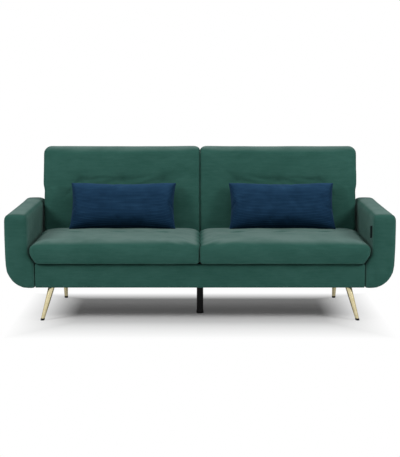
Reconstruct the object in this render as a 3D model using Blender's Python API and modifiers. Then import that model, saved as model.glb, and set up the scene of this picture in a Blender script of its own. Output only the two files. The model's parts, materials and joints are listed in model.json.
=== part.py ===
"""Click-clack futon sofa bed: padded arms, a split tufted back that reclines flat, and two loose pillows.

Metres, +Z up, front towards -Y. Lengths along Y are counted from the front plane of the arms;
place_origin() then puts the middle of the footprint at the origin. Left is the side at -X.
"""

import math

import bmesh
import bpy
from mathutils import Matrix, Vector
from mathutils.bvhtree import BVHTree

GAP = 0.0003  # between two solids that touch
LAP = 0.001  # how far two solids reach into each other before they are joined
SIDES = {"left": -1, "right": 1}

# Arms
WIDTH = 1.970  # over both arms
ARM_LENGTH = 0.700
ARM_TOP = 0.540
ARM_BOTTOM = 0.166
ARM_THICK = 0.115
ARM_HEEL = 0.032  # how much further in the foot of an arm reaches than its wall
ARM_HEEL_TOP = 0.283  # where the heel starts to curve back into the wall
ARM_HEEL_RISE = 0.050
ARM_LOWER_ROUND = 0.120
ARM_EDGE_ROUND = 0.026
ARM_END_ROUND = 0.024
ARM_PADDING = 0.030  # between the arm's outline and the timber in it
ARM_PANEL_RISE = 0.042  # from the arm's underside to the timber, inside the lower round
ARM_BOARD = 0.030  # thickness of the timber panel
ARM_POSTS = 4
ARM_POST = 0.045

# Seat base
RAIL_BOTTOM = 0.171
RAIL_THICK = 0.035
RAIL_SETBACK = 0.005  # of the front rail's cover from the front plane of the arms
RAIL_END_PLAY = 0.003  # between the front rail and each arm
SEAT_BASE = 0.290  # underside of the seat cushions
COVER = 0.0036
COVER_TURN = 0.004  # inner radius where the cover folds over the rail
RAIL_EDGE = 0.005  # rounding of the front rail under its cover
COVER_TOP_LIP = 0.020
COVER_BOTTOM_LIP = 0.009
SPRING_WIRE = 0.0036
SPRINGS = 3  # for each cushion
SPRING_WIDTH = 0.044
SPRING_LOOP = 0.037  # length of one half wave
SPRING_SEAT = 0.012  # how far each spring end lies on its rail
REAR_RAIL_AT = 0.485
REAR_RAIL_DEPTH = 0.040
REAR_RAIL_TOP = 0.210
SPRING_RAIL_AT = 0.415
SPRING_RAIL_DEPTH = 0.036
SPRING_RAIL_HEIGHT = 0.040
BEAM_WIDTH = 0.040
BLOCK = 0.068  # side of a corner block
BLOCK_HEIGHT = 0.060
DUST_COVER = 0.001

# Seat cushions
SEAT_EDGE = 0.402  # height of the cushion's top edges
SEAT_CROWN = 0.420
SEAT_NOSE = 0.026  # how far the front face bulges ahead of the arms
SEAT_NOSE_TUCK = 0.012
SEAT_SPLIT = 0.006
SEAT_SIDE_PLAY = 0.008  # from each cushion's side to the arm
SEAT_BACK_PLAY = 0.003  # from the seat to the back, also as it swings
SEAT_FLARE = (0.005, 0.015)  # how far under and over the arm's heel curve the seat's side follows it

# Back
PIVOT_Y = 0.585
PIVOT_Z = 0.315
RECLINE = math.radians(17)  # of the upright back from the vertical
BACK_FRONT = 0.105  # from the pivot to the front face
BACK_THICK = 0.150
BACK_ABOVE = 0.517  # from the pivot to the top edge
BACK_BELOW = 0.085
BACK_SWING = 0.108  # radius of the rounded bottom edge about the pivot
BACK_SPLIT = 0.008
BACK_SIDE_PLAY = 0.004  # from the back's side to the arm
BACK_WAIST = 0.016  # how much the visible side is drawn in near the seat
WAIST_FADE = (0.050, 0.200)  # heights up the back between which that fades out
FRONT_HEEL_FADE = (-0.010, 0.060)  # heights between which the side clears the arm's heel, at the front
REAR_HEEL_FADE = (0.130, 0.210)  # and at the rear
HEEL_DEPTH_FADE = (0.000, 0.040)  # distances ahead of the pivot between which one becomes the other
BACK_LINES = (-0.062, -0.030, 0.045, 0.115, 0.200, 0.340)  # heights where the back's cage is cut across
BACK_TOP_ROUND = 0.045
SWING_PLAY = 0.006  # from the swinging back to the timber
FRAME_FRONT = 0.013  # front face of the back's timber frame, ahead of the pivot
FRAME_THICK = 0.045
FRAME_BOTTOM = 0.045
FRAME_TOP = 0.455
FRAME_BAR = 0.042
FRAME_SLATS = 2

# Hinges
HINGE_INSET = 0.080  # from each end of a back panel
PLATE = 0.004
PLATE_PLAY = 0.0006
TOOTH_TIP = 0.034
TOOTH_ROOT = 0.030
TEETH = 10
TEETH_FROM = math.radians(-12)  # from straight up, towards the rear
TEETH_TO = math.radians(108)
NECK_FROM = math.radians(-83)
NECK_TO = math.radians(157)
FOOT_MARGIN = 0.002
FOOT_RISE = 0.012  # straight part of the plate above its foot
FLANGE = 0.034
SLOT_PLAY = 0.003
STRAP_HALF = 0.014
STRAP_EYE = 0.018
STRAP_TOP = 0.170
STRAP_BOLTS = (0.095, 0.145)
PIN = 0.006
PIN_HEAD = 0.010
PIN_HEAD_THICK = 0.003
BOLT_HEAD = 0.0055
BOLT_HEAD_THICK = 0.0025
PAWL_LIFT = 0.0006  # the dog is held this far off the teeth
PAWL_TOP = 0.060
PAWL_TIP = 0.0012  # half the width of the dog's tip
PAWL_FRONT = 0.009
PAWL_REAR = 0.006
PAWL_SLOPES = (0.012, 0.008)  # height of the slopes in front of and behind its tip
PAWL_ROUND = 0.005

# Legs
LEG_TOP_RADIUS = 0.0150
LEG_FOOT_RADIUS = 0.0085
GLIDE = 0.010
LEG_PLATE = 0.052
LEG_PLATE_THICK = 0.004
LEG_PLATE_ROUND = 0.008
SCREW = 0.004
SCREW_INSET = 0.009
SCREW_THICK = 0.0015
FRONT_LEG_IN = 0.078  # from the arm's heel to the middle of the leg plate
FRONT_LEG_Y = 0.045
FRONT_SPLAY = (0.047, -0.045)  # how far the foot stands out to the side and to the rear
REAR_LEG_IN = 0.090
REAR_LEG_Y = 0.495
REAR_SPLAY = (0.0, 0.035)
CENTRE_LEG_Y = 0.170
CENTRE_LEG_TOP = 0.019
CENTRE_LEG_WAIST = 0.017
CENTRE_LEG_FOOT = 0.019
CENTRE_LEG_FLANGE = 0.005

# Arm bolts
ARM_BOLT_AT = {"front": 0.170, "rear": 0.360}
ARM_BOLT_Z = 0.230
ARM_BOLT = 0.004
ARM_BOLT_HEAD = 0.009
ARM_BOLT_HEAD_THICK = 0.005
ARM_BOLT_BITE = 0.035  # thread length in the arm's timber

# Pillows
PILLOW_WIDTH = 0.555
PILLOW_HEIGHT = 0.275
PILLOW_THICK = 0.120
PILLOW_SEAM = 0.006
PILLOW_WAIST = 0.016  # how far the sides pull in between the corners
PILLOW_LEAN = math.radians(34)
PILLOW_FROM_ARM = {"left": 0.463, "right": 0.430}  # from an arm's inner wall to the pillow's middle

# What follows from them
HALF = WIDTH / 2
ARM_IN = HALF - ARM_THICK
ARM_HEEL_IN = ARM_IN - ARM_HEEL
SEAM_LAYER = max(COVER, SPRING_WIRE)
RAIL_TOP = SEAT_BASE - GAP - SEAM_LAYER - GAP
CORE_BOTTOM = RAIL_BOTTOM + COVER + GAP
CORE_FRONT = RAIL_SETBACK + COVER + GAP
CORE_REAR = CORE_FRONT + RAIL_THICK
SIDE_RAIL_OUT = ARM_HEEL_IN - GAP
SIDE_RAIL_IN = SIDE_RAIL_OUT - RAIL_THICK
FRONT_RAIL_END = ARM_HEEL_IN - RAIL_END_PLAY
REAR_RAIL_END = REAR_RAIL_AT + REAR_RAIL_DEPTH
DUST_TOP = CORE_BOTTOM - GAP
DUST_BOTTOM = DUST_TOP - DUST_COVER
PLATE_TOP = DUST_BOTTOM - GAP
PLATE_BOTTOM = PLATE_TOP - LEG_PLATE_THICK
LEG_TOP = PLATE_BOTTOM - GAP
SWING_CLEAR = BACK_SWING + SWING_PLAY
BACK_REAR = BACK_FRONT - BACK_THICK
PIVOT = Vector((0, PIVOT_Y, PIVOT_Z))


def colour(red, green, blue):
    """A screen colour of 0 to 255 as the linear colour that a material holds."""
    linear = [((c / 255 + 0.055) / 1.055) ** 2.4 for c in (red, green, blue)]
    return (*linear, 1)


FINISHES = {
    "velvet": (colour(46, 82, 75), 0.85, 0),
    "navy_weave": (colour(27, 52, 76), 0.9, 0),
    "timber": (colour(186, 148, 104), 0.6, 0),
    "dark_timber": (colour(40, 38, 36), 0.6, 0),
    "spring_steel": (colour(120, 122, 125), 0.35, 1),
    "zinc_steel": (colour(150, 152, 155), 0.35, 1),
    "brass": (colour(190, 150, 88), 0.28, 1),
    "black_plastic": (colour(20, 20, 21), 0.5, 0),
    "black_felt": (colour(26, 26, 28), 0.95, 0),
}


def clear_scene():
    for old in list(bpy.data.objects):
        bpy.data.objects.remove(old, do_unlink=True)


def new_collection(name):
    collection = bpy.data.collections.new(name)
    bpy.context.scene.collection.children.link(collection)
    return collection


def new_material(name, finish):
    material = bpy.data.materials.new(name)
    material.use_nodes = True
    shader = material.node_tree.nodes["Principled BSDF"]
    base, roughness, metallic = FINISHES[finish]
    shader.inputs["Base Color"].default_value = base
    shader.inputs["Roughness"].default_value = roughness
    shader.inputs["Metallic"].default_value = metallic
    material.diffuse_color = base
    return material


def add(name, shape, finish, carrier, smooth=30):
    """A named piece from a bmesh, a mesh or a curve, in its own material, carried by an empty."""
    if isinstance(shape, bmesh.types.BMesh):
        bmesh.ops.recalc_face_normals(shape, faces=shape.faces[:])
        data = bpy.data.meshes.new(name)
        shape.to_mesh(data)
        shape.free()
    else:
        data = shape
    piece = bpy.data.objects.new(name, data)
    PARTS.objects.link(piece)
    data.materials.append(new_material(name, finish))
    piece.parent = carrier
    if isinstance(data, bpy.types.Mesh):
        data.shade_smooth()
        data.set_sharp_from_angle(angle=math.radians(smooth))
    return piece


def cutter(name, shape, carrier):
    """A helper that a Boolean modifier takes away or joins; it isn't a piece of the sofa."""
    bmesh.ops.recalc_face_normals(shape, faces=shape.faces[:])
    data = bpy.data.meshes.new(name)
    shape.to_mesh(data)
    shape.free()
    helper = bpy.data.objects.new(name, data)
    CUTTERS.objects.link(helper)
    helper.parent = carrier
    helper.hide_render = True
    helper.display_type = "WIRE"
    return helper


def boolean(piece, operation, shape):
    """Cuts a shape out of a piece, or joins it on. Both lie in the frame of the piece's carrier."""
    count = len(piece.modifiers)
    helper = cutter(f"{piece.name}.{operation.lower()}.{count}", shape, piece.parent)
    change = piece.modifiers.new(f"{operation.title()} {count}", "BOOLEAN")
    change.operation = operation
    change.solver = "EXACT"
    change.object = helper


def empty(name, place, carrier=None, tilt=0.0):
    axis = bpy.data.objects.new(name, None)
    PARTS.objects.link(axis)
    axis.location = place
    axis.rotation_euler.x = tilt
    axis.empty_display_size = 0.05
    axis.parent = carrier
    return axis


def box(low, high):
    """A box between two corners, given in any order."""
    low, high = Vector(low), Vector(high)
    size = [abs(b - a) for a, b in zip(low, high)]
    bm = bmesh.new()
    bmesh.ops.create_cube(bm, size=1, matrix=Matrix.Translation((low + high) / 2) @ Matrix.Diagonal((*size, 1)))
    return bm


def rounded(corners, steps=4):
    """An outline whose corners (a, b, radius) are rounded with arcs."""
    outline = []
    for i, (a, b, radius) in enumerate(corners):
        here = Vector((a, b))
        if not radius:
            outline.append(here)
            continue
        to_last = (Vector(corners[i - 1][:2]) - here).normalized()
        to_next = (Vector(corners[(i + 1) % len(corners)][:2]) - here).normalized()
        half_angle = to_last.angle(to_next) / 2
        centre = here + (to_last + to_next).normalized() * radius / math.sin(half_angle)
        reach = radius / math.tan(half_angle)
        first, last = (here + way * reach - centre for way in (to_last, to_next))
        turn = math.atan2(first.cross(last), first.dot(last))
        for k in range(steps + 1):
            outline.append(centre + Matrix.Rotation(turn * k / steps, 2) @ first)
    return outline


def circle(radius, sides=12, centre=(0, 0)):
    a, b = centre
    turns = [2 * math.pi * k / sides for k in range(sides)]
    return [(a + radius * math.cos(t), b + radius * math.sin(t)) for t in turns]


def prism(outline, low, high, axis="X"):
    """An outline drawn across an axis, filled and drawn out along it from low to high."""
    place = {
        "X": lambda a, b, along: (along, a, b),
        "Y": lambda a, b, along: (a, along, b),
        "Z": lambda a, b, along: (a, b, along),
    }[axis]
    bm = bmesh.new()
    face = bm.faces.new([bm.verts.new(place(a, b, low)) for a, b in outline])
    drawn = bmesh.ops.extrude_face_region(bm, geom=[face])
    moved = [v for v in drawn["geom"] if isinstance(v, bmesh.types.BMVert)]
    bmesh.ops.translate(bm, verts=moved, vec=place(0, 0, high - low))
    return bm


def rod(radius, low, high, centre, sides=12):
    """A round bar along X through centre, a (y, z) pair."""
    return prism(circle(radius, sides, centre), low, high)


def clearance_hole(radius, low, high, centre, sides=12):
    """A hole whose flats, not its corners, clear a bar of this radius by the gap."""
    return rod((radius + GAP) / math.cos(math.pi / sides), low, high, centre, sides)


def cage(cuts_x, cuts_y, cuts_z, place):
    """The coarse cage of a padded form: a unit cube cut across at shares of its sides, then shaped by place."""
    bm = bmesh.new()
    bmesh.ops.create_cube(bm, size=1, matrix=Matrix.Translation((0.5, 0.5, 0.5)))
    for axis, cuts in enumerate((cuts_x, cuts_y, cuts_z)):
        normal = Vector([float(i == axis) for i in range(3)])
        for share in cuts:
            everything = bm.verts[:] + bm.edges[:] + bm.faces[:]
            bmesh.ops.bisect_plane(bm, geom=everything, plane_co=normal * share, plane_no=normal)
    for v in bm.verts:
        v.co = place(*v.co)
    return bm


def padded(name, bm, finish, carrier):
    """A padded piece: its cage, smoothed once."""
    piece = add(name, bm, finish, carrier, smooth=60)
    smooth = piece.modifiers.new("Smooth", "SUBSURF")
    smooth.levels = smooth.render_levels = 1
    return piece


def evaluated(piece):
    """A bmesh of a piece as its modifiers leave it, in world space."""
    graph = bpy.context.evaluated_depsgraph_get()
    graph.update()
    shape = piece.evaluated_get(graph)
    bm = bmesh.new()
    bm.from_mesh(shape.to_mesh())
    shape.to_mesh_clear()
    bm.transform(piece.matrix_world)
    return bm


def ease(value, low, high):
    """0 below low, 1 above high, and a smooth rise between."""
    share = min(max((value - low) / (high - low), 0), 1)
    return share * share * (3 - 2 * share)


def arm_outline():
    """The end view of the right arm: a slab with a big lower round, whose heel curves in over the rail."""
    return rounded(
        [
            (ARM_HEEL_IN, ARM_BOTTOM, ARM_EDGE_ROUND),
            (HALF, ARM_BOTTOM, ARM_LOWER_ROUND),
            (HALF, ARM_TOP, ARM_EDGE_ROUND),
            (ARM_IN, ARM_TOP, ARM_EDGE_ROUND),
            (ARM_IN, ARM_HEEL_TOP + ARM_HEEL_RISE, ARM_EDGE_ROUND),
            (ARM_HEEL_IN, ARM_HEEL_TOP, ARM_EDGE_ROUND),
        ],
        steps=5,
    )


def arm_timbers(grow):
    """The boxes of an arm's timber frame on the right side, each a low and a high corner."""
    panel_in = ARM_IN + ARM_PADDING
    panel_out = panel_in + ARM_BOARD
    front, rear = ARM_PADDING, ARM_LENGTH - ARM_PADDING
    low = ARM_BOTTOM + ARM_PANEL_RISE
    high = ARM_TOP - ARM_PADDING
    foot = ARM_HEEL_TOP
    pitch = (rear - front - ARM_POST) / (ARM_POSTS - 1)
    timbers = [
        ((panel_in, front, low), (panel_out, rear, foot)),
        ((panel_in, front, high - ARM_POST), (panel_out, rear, high)),
        ((ARM_HEEL_IN, front, low), (panel_in + LAP, REAR_RAIL_END, foot - ARM_PADDING / 2)),
    ]
    for k in range(ARM_POSTS):
        at = front + k * pitch
        timbers.append(((panel_in, at, foot - LAP), (panel_out, at + ARM_POST, high - ARM_POST + LAP)))
    margin = Vector((grow,) * 3)
    return [(Vector(a) - margin, Vector(b) + margin) for a, b in timbers]


def sided(corners, side):
    """The same pair of corners on the left or the right side."""
    return [(side * x, y, z) for x, y, z in corners]


def make_arm(name, side, carrier):
    outline = [(side * a, b) for a, b in arm_outline()]
    pad = add(f"arm_pad_{name}", prism(outline, 0, ARM_LENGTH, "Y"), "velvet", carrier)
    ends = pad.modifiers.new("Soft ends", "BEVEL")
    ends.width = ARM_END_ROUND
    ends.segments = 3
    ends.limit_method = "ANGLE"
    ends.angle_limit = math.radians(50)
    for corners in arm_timbers(GAP):
        boolean(pad, "DIFFERENCE", box(*sided(corners, side)))
    first, *others = arm_timbers(0)
    frame = add(f"arm_frame_{name}", box(*sided(first, side)), "timber", carrier)
    for corners in others:
        boolean(frame, "UNION", box(*sided(corners, side)))
    for place, at in ARM_BOLT_AT.items():
        bite = side * (ARM_HEEL_IN + ARM_BOLT_BITE)
        inside = side * (ARM_HEEL_IN - 2 * GAP)
        boolean(frame, "DIFFERENCE", clearance_hole(ARM_BOLT, inside, bite + side * GAP, (at, ARM_BOLT_Z)))
        head_out = side * (SIDE_RAIL_IN - GAP)
        head_in = head_out - side * ARM_BOLT_HEAD_THICK
        head = rod(ARM_BOLT_HEAD, head_in, head_out, (at, ARM_BOLT_Z), 6)
        bolt = add(f"arm_bolt_{name}_{place}", head, "zinc_steel", carrier)
        shank = rod(ARM_BOLT, head_out - side * LAP, bite, (at, ARM_BOLT_Z))
        boolean(bolt, "UNION", shank)


def rail_cover_outline():
    """The front rail's cover seen from the end: a strip of padding folded over the rail's top and under it."""
    front, top = RAIL_SETBACK, RAIL_TOP + GAP + COVER
    turn = COVER + COVER_TURN
    return rounded(
        [
            (front + COVER + GAP + COVER_TOP_LIP, top, 0),
            (front, top, turn),
            (front, RAIL_BOTTOM, turn),
            (front + COVER + GAP + COVER_BOTTOM_LIP, RAIL_BOTTOM, 0),
            (front + COVER + GAP + COVER_BOTTOM_LIP, RAIL_BOTTOM + COVER, 0),
            (front + COVER, RAIL_BOTTOM + COVER, COVER_TURN),
            (front + COVER, top - COVER, COVER_TURN),
            (front + COVER + GAP + COVER_TOP_LIP, top - COVER, 0),
        ],
        steps=3,
    )


def make_front_rail(carrier):
    cover = prism(rail_cover_outline(), -FRONT_RAIL_END, FRONT_RAIL_END)
    add("front_rail_cover", cover, "velvet", carrier)
    section = rounded(
        [
            (CORE_FRONT, CORE_BOTTOM, RAIL_EDGE),
            (CORE_REAR, CORE_BOTTOM, 0),
            (CORE_REAR, RAIL_TOP, 0),
            (CORE_FRONT, RAIL_TOP, RAIL_EDGE),
        ],
        steps=3,
    )
    end = FRONT_RAIL_END - COVER
    add("front_rail", prism(section, -end, end), "timber", carrier)


def side_rail_outline():
    """A side rail seen from the side: its rear end is scooped out round the pivot, so the back can swing."""
    top_angle = math.asin((PIVOT_Z - RAIL_TOP) / SWING_CLEAR)
    rear_angle = math.acos((PIVOT_Y - REAR_RAIL_END) / SWING_CLEAR)
    steps = 6
    scoop = []
    for k in range(steps + 1):
        turn = top_angle + (rear_angle - top_angle) * k / steps
        scoop.append((PIVOT_Y - SWING_CLEAR * math.cos(turn), PIVOT_Z - SWING_CLEAR * math.sin(turn)))
    front = CORE_REAR + GAP
    return [(REAR_RAIL_END, CORE_BOTTOM), (front, CORE_BOTTOM), (front, RAIL_TOP), *scoop]


def make_side_rail(name, side, carrier):
    rail = prism(side_rail_outline(), side * SIDE_RAIL_IN, side * SIDE_RAIL_OUT)
    rail = add(f"side_rail_{name}", rail, "timber", carrier)
    top = CORE_BOTTOM + BLOCK_HEIGHT
    for low, high in ((CORE_REAR + GAP, CORE_REAR + GAP + BLOCK), (REAR_RAIL_AT - GAP - BLOCK, REAR_RAIL_AT - GAP)):
        block = ((SIDE_RAIL_IN - BLOCK, low, CORE_BOTTOM), (SIDE_RAIL_IN + LAP, high, top))
        boolean(rail, "UNION", box(*sided(block, side)))
    for at in ARM_BOLT_AT.values():
        hole = clearance_hole(ARM_BOLT, side * (SIDE_RAIL_IN - LAP), side * (SIDE_RAIL_OUT + LAP), (at, ARM_BOLT_Z))
        boolean(rail, "DIFFERENCE", hole)


def make_cross_rails(carrier):
    inside = SIDE_RAIL_IN - GAP
    rear = box((-inside, REAR_RAIL_AT, CORE_BOTTOM), (inside, REAR_RAIL_END, REAR_RAIL_TOP))
    add("rear_rail", rear, "dark_timber", carrier)
    spring_low = RAIL_TOP - SPRING_RAIL_HEIGHT
    spring_end = SPRING_RAIL_AT + SPRING_RAIL_DEPTH
    spring = box((-inside, SPRING_RAIL_AT, spring_low), (inside, spring_end, RAIL_TOP))
    add("spring_rail", spring, "timber", carrier)
    front, back = CORE_REAR + GAP, REAR_RAIL_AT - GAP
    beam = box((-BEAM_WIDTH / 2, front, CORE_BOTTOM), (BEAM_WIDTH / 2, back, spring_low - GAP))
    add("centre_beam", beam, "timber", carrier)
    front = RAIL_SETBACK + COVER + GAP + COVER_BOTTOM_LIP + GAP
    end = FRONT_RAIL_END - COVER
    dust = box((-end, front, DUST_BOTTOM), (end, REAR_RAIL_END, DUST_TOP))
    add("dust_cover", dust, "black_felt", carrier)


def spring_path():
    """One sinuous spring seen from above, as (x, y): half waves from the front rail to the spring rail."""
    first = CORE_REAR - SPRING_SEAT
    last = SPRING_RAIL_AT + SPRING_SEAT
    waves = round((last - first) / SPRING_LOOP)
    loop = (last - first) / waves
    reach = SPRING_WIDTH / 2
    path = [(0, first)]
    for k in range(waves):
        out = reach if k % 2 else -reach
        start = first + k * loop
        path += [(out * 0.72, start + loop * 0.08), (out, start + loop * 0.3)]
        path += [(out, start + loop * 0.7), (out * 0.72, start + loop * 0.92)]
    return path + [(0, last)]


def make_springs(name, side, carrier):
    inner, outer = BEAM_WIDTH / 2, SIDE_RAIL_IN
    pitch = (outer - inner) / SPRINGS
    height = RAIL_TOP + GAP + SPRING_WIRE / 2
    for k in range(SPRINGS):
        wire = bpy.data.curves.new(f"seat_spring_{name}_{k + 1}", "CURVE")
        wire.dimensions = "3D"
        wire.bevel_depth = SPRING_WIRE / 2
        wire.bevel_resolution = 1
        wire.use_fill_caps = True
        line = wire.splines.new("POLY")
        path = spring_path()
        line.points.add(len(path) - 1)
        centre = side * (inner + (k + 0.5) * pitch)
        for point, (x, y) in zip(line.points, path):
            point.co = (centre + x, y, height, 1)
        add(wire.name, wire, "spring_steel", carrier)


def seat_rear(z):
    """Where the seat's slanted rear face lies at a height, parallel to the upright back."""
    off = BACK_FRONT + SEAT_BACK_PLAY
    off = max(off, BACK_SWING + SEAT_BACK_PLAY)
    return PIVOT_Y + ((z - PIVOT_Z) * math.sin(RECLINE) - off) / math.cos(RECLINE)


def seat_side(z):
    """Half the width of the seat at a height: it follows the curve of the arms' heels."""
    under, over = SEAT_FLARE
    wall = ARM_HEEL_IN + ARM_HEEL * ease(z, ARM_HEEL_TOP - under, ARM_HEEL_TOP + ARM_HEEL_RISE + over)
    return wall - SEAT_SIDE_PLAY


def make_seat(name, side, carrier):
    def place(u, v, w):
        bulge = 1 - (2 * w - 1) ** 2
        mound = (1 - (2 * u - 1) ** 4) * (1 - (2 * v - 1) ** 4)
        top = SEAT_EDGE + (SEAT_CROWN - SEAT_EDGE) * mound
        z = SEAT_BASE + w * (top - SEAT_BASE)
        front = -SEAT_NOSE + SEAT_NOSE_TUCK * (1 - bulge)
        y = front + v * (seat_rear(z) - front)
        inner = SEAT_SPLIT / 2
        return side * (inner + u * (seat_side(z) - inner)), y, z

    cuts = (0.06, 0.35, 0.65, 0.94)
    padded(f"seat_cushion_{name}", cage(cuts, cuts, (0.2, 0.55, 0.85), place), "velvet", carrier)


def back_half_width(front, up):
    """Half the width of the back at a place ahead of the pivot and up the back, clear of the arms' heels."""
    full = ARM_IN - BACK_SIDE_PLAY
    heel = ARM_HEEL_IN - BACK_SIDE_PLAY
    visible = full - BACK_WAIST * (1 - ease(up, *WAIST_FADE))
    low_front = heel + (visible - heel) * ease(up, *FRONT_HEEL_FADE)
    low_rear = heel + (full - heel) * ease(up, *REAR_HEEL_FADE)
    return low_rear + (low_front - low_rear) * ease(front, *HEEL_DEPTH_FADE)


def make_back_cushion(name, side, pivot):
    below, above = -BACK_BELOW, BACK_ABOVE
    height = above - below

    def place(u, v, w):
        up = below + w * height
        front = min(BACK_FRONT, math.sqrt(max(BACK_SWING**2 - min(up, 0) ** 2, 0)))
        ahead = BACK_REAR + (1 - v) * (front - BACK_REAR)
        inner = BACK_SPLIT / 2
        return side * (inner + u * (back_half_width(ahead, up) - inner)), -ahead, up

    cuts = tuple((line - below) / height for line in (*BACK_LINES, above - BACK_TOP_ROUND))
    form = cage((0.05, 0.35, 0.65, 0.95), (0.22, 0.7), cuts, place)
    cushion = padded(f"back_cushion_{name}", form, "velvet", pivot)
    for part in back_timbers(side, GAP):
        boolean(cushion, "DIFFERENCE", part)
    slot_front = max(-y for y, _ in fixed_plate_in_back()) + SLOT_PLAY
    for hinge in hinges(side):
        boolean(cushion, "DIFFERENCE", hinge_slot(hinge, slot_front))
        boolean(cushion, "DIFFERENCE", strap_slot(hinge))


def hinges(side):
    """The two hinges of a back panel: where each is along X, and which way its stile lies."""
    inner = BACK_SPLIT / 2 + HINGE_INSET
    outer = ARM_HEEL_IN - BACK_SIDE_PLAY - HINGE_INSET
    return [(side * inner, side, "inner"), (side * outer, -side, "outer")]


def stile_face(hinge):
    """Where the side of the stile lies that the hinge strap is bolted to."""
    at, way, _ = hinge
    return at + way * (PLATE_PLAY / 2 + PLATE + GAP)


def back_timbers(side, grow):
    """The back's timber frame, between its two hinges, as solids to join: stiles, slats and two bars."""
    first, last = sorted(stile_face(hinge) for hinge in hinges(side))
    pitch = (last - first - FRAME_BAR) / (FRAME_SLATS + 1)
    rear = -FRAME_FRONT + FRAME_THICK
    timbers = []
    for low in (FRAME_BOTTOM, FRAME_TOP - FRAME_BAR):
        timbers.append(((first, -FRAME_FRONT, low), (last, rear, low + FRAME_BAR)))
    for k in range(FRAME_SLATS + 2):
        at = first + k * pitch
        upright = (FRAME_BOTTOM + FRAME_BAR - LAP, FRAME_TOP - FRAME_BAR + LAP)
        timbers.append(((at, -FRAME_FRONT, upright[0]), (at + FRAME_BAR, rear, upright[1])))
    margin = Vector((grow,) * 3)
    return [box(Vector(a) - margin, Vector(b) + margin) for a, b in timbers]


def make_back_frame(name, side, pivot):
    first, *others = back_timbers(side, 0)
    frame = add(f"back_frame_{name}", first, "timber", pivot)
    for timber in others:
        boolean(frame, "UNION", timber)


def fixed_plate_outline():
    """The fixed hinge plate about the pivot, as (y, z): a foot, a neck and a sector of ratchet teeth."""
    foot_front = REAR_RAIL_AT + FOOT_MARGIN - PIVOT_Y
    foot_rear = REAR_RAIL_END - FOOT_MARGIN - PIVOT_Y
    foot = REAR_RAIL_TOP + GAP - PIVOT_Z
    outline = [(foot_rear, foot), (foot_front, foot), (foot_front, foot + FOOT_RISE)]
    steps = 5
    for k in range(steps + 1):
        turn = NECK_FROM + (TEETH_FROM - NECK_FROM) * k / steps
        outline.append((TOOTH_ROOT * math.sin(turn), TOOTH_ROOT * math.cos(turn)))
    pitch = (TEETH_TO - TEETH_FROM) / TEETH
    for k in range(TEETH):
        turn = TEETH_FROM + k * pitch
        outline.append((TOOTH_TIP * math.sin(turn + pitch * 0.12), TOOTH_TIP * math.cos(turn + pitch * 0.12)))
        outline.append((TOOTH_TIP * math.sin(turn + pitch * 0.3), TOOTH_TIP * math.cos(turn + pitch * 0.3)))
        outline.append((TOOTH_ROOT * math.sin(turn + pitch), TOOTH_ROOT * math.cos(turn + pitch)))
    for k in range(1, steps + 1):
        turn = TEETH_TO + (NECK_TO - TEETH_TO) * k / steps
        outline.append((TOOTH_ROOT * math.sin(turn), TOOTH_ROOT * math.cos(turn)))
    return outline + [(foot_rear, foot + FOOT_RISE)]


def fixed_plate_in_back():
    """The fixed plate's outline as the upright back sees it: rearward, and up the back."""
    lean = Matrix.Rotation(RECLINE, 2)
    return [lean @ Vector(point) for point in fixed_plate_outline()]


def make_fixed_plate(name, hinge, base_pivot):
    at, way, _ = hinge
    near = at - way * PLATE_PLAY / 2
    far = near - way * PLATE
    plate = add(f"hinge_plate_{name}", prism(fixed_plate_outline(), far, near), "zinc_steel", base_pivot)
    foot = REAR_RAIL_TOP + GAP - PIVOT_Z
    front = REAR_RAIL_AT + FOOT_MARGIN - PIVOT_Y
    rear = REAR_RAIL_END - FOOT_MARGIN - PIVOT_Y
    boolean(plate, "UNION", box((near, front, foot), (near - way * FLANGE, rear, foot + PLATE)))
    middle = near - way * (PLATE + FLANGE) / 2
    for y in (front + (rear - front) * 0.25, front + (rear - front) * 0.75):
        head = circle(BOLT_HEAD, 8, (middle, y))
        boolean(plate, "UNION", prism(head, foot + PLATE - LAP, foot + PLATE + BOLT_HEAD_THICK, "Z"))
    boolean(plate, "DIFFERENCE", clearance_hole(PIN, far - way * LAP, near + way * LAP, (0, 0)))


def strap_outline():
    """The moving hinge strap, as (y, z): an eye round the pin, drawn up into a band with a round end."""
    eye = [(STRAP_EYE * math.sin(t), -STRAP_EYE * math.cos(t)) for t in (math.radians(a) for a in range(-120, 121, 24))]
    rise = STRAP_EYE * 1.6
    end = [(STRAP_HALF, rise, 0), (STRAP_HALF, STRAP_TOP, STRAP_HALF * 0.8)]
    end += [(-STRAP_HALF, STRAP_TOP, STRAP_HALF * 0.8), (-STRAP_HALF, rise, 0)]
    return eye + rounded(end, steps=3)


def make_strap(name, hinge, pivot):
    at, way, _ = hinge
    near = at + way * PLATE_PLAY / 2
    far = near + way * PLATE
    strap = add(f"hinge_strap_{name}", prism(strap_outline(), near, far), "zinc_steel", pivot)
    for up in STRAP_BOLTS:
        boolean(strap, "UNION", rod(BOLT_HEAD, near - way * BOLT_HEAD_THICK, near + way * LAP, (0, up), 8))
    boolean(strap, "DIFFERENCE", clearance_hole(PIN, near - way * LAP, far + way * LAP, (0, 0)))


def make_pawl(name, hinge, pivot):
    """The dog that drops into the ratchet teeth, drawn lifted just clear of them."""
    at, way, _ = hinge
    near = at - way * PLATE_PLAY / 2
    tip = TOOTH_TIP + PAWL_LIFT
    outline = rounded(
        [
            (-PAWL_TIP, tip, 0),
            (PAWL_TIP, tip, 0),
            (PAWL_FRONT, tip + PAWL_SLOPES[0], 0),
            (PAWL_FRONT, PAWL_TOP, PAWL_ROUND),
            (-PAWL_REAR, PAWL_TOP, PAWL_ROUND),
            (-PAWL_REAR, tip + PAWL_SLOPES[1], 0),
        ],
        steps=3,
    )
    add(f"hinge_pawl_{name}", prism(outline, near, near - way * PLATE), "zinc_steel", pivot)


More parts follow.
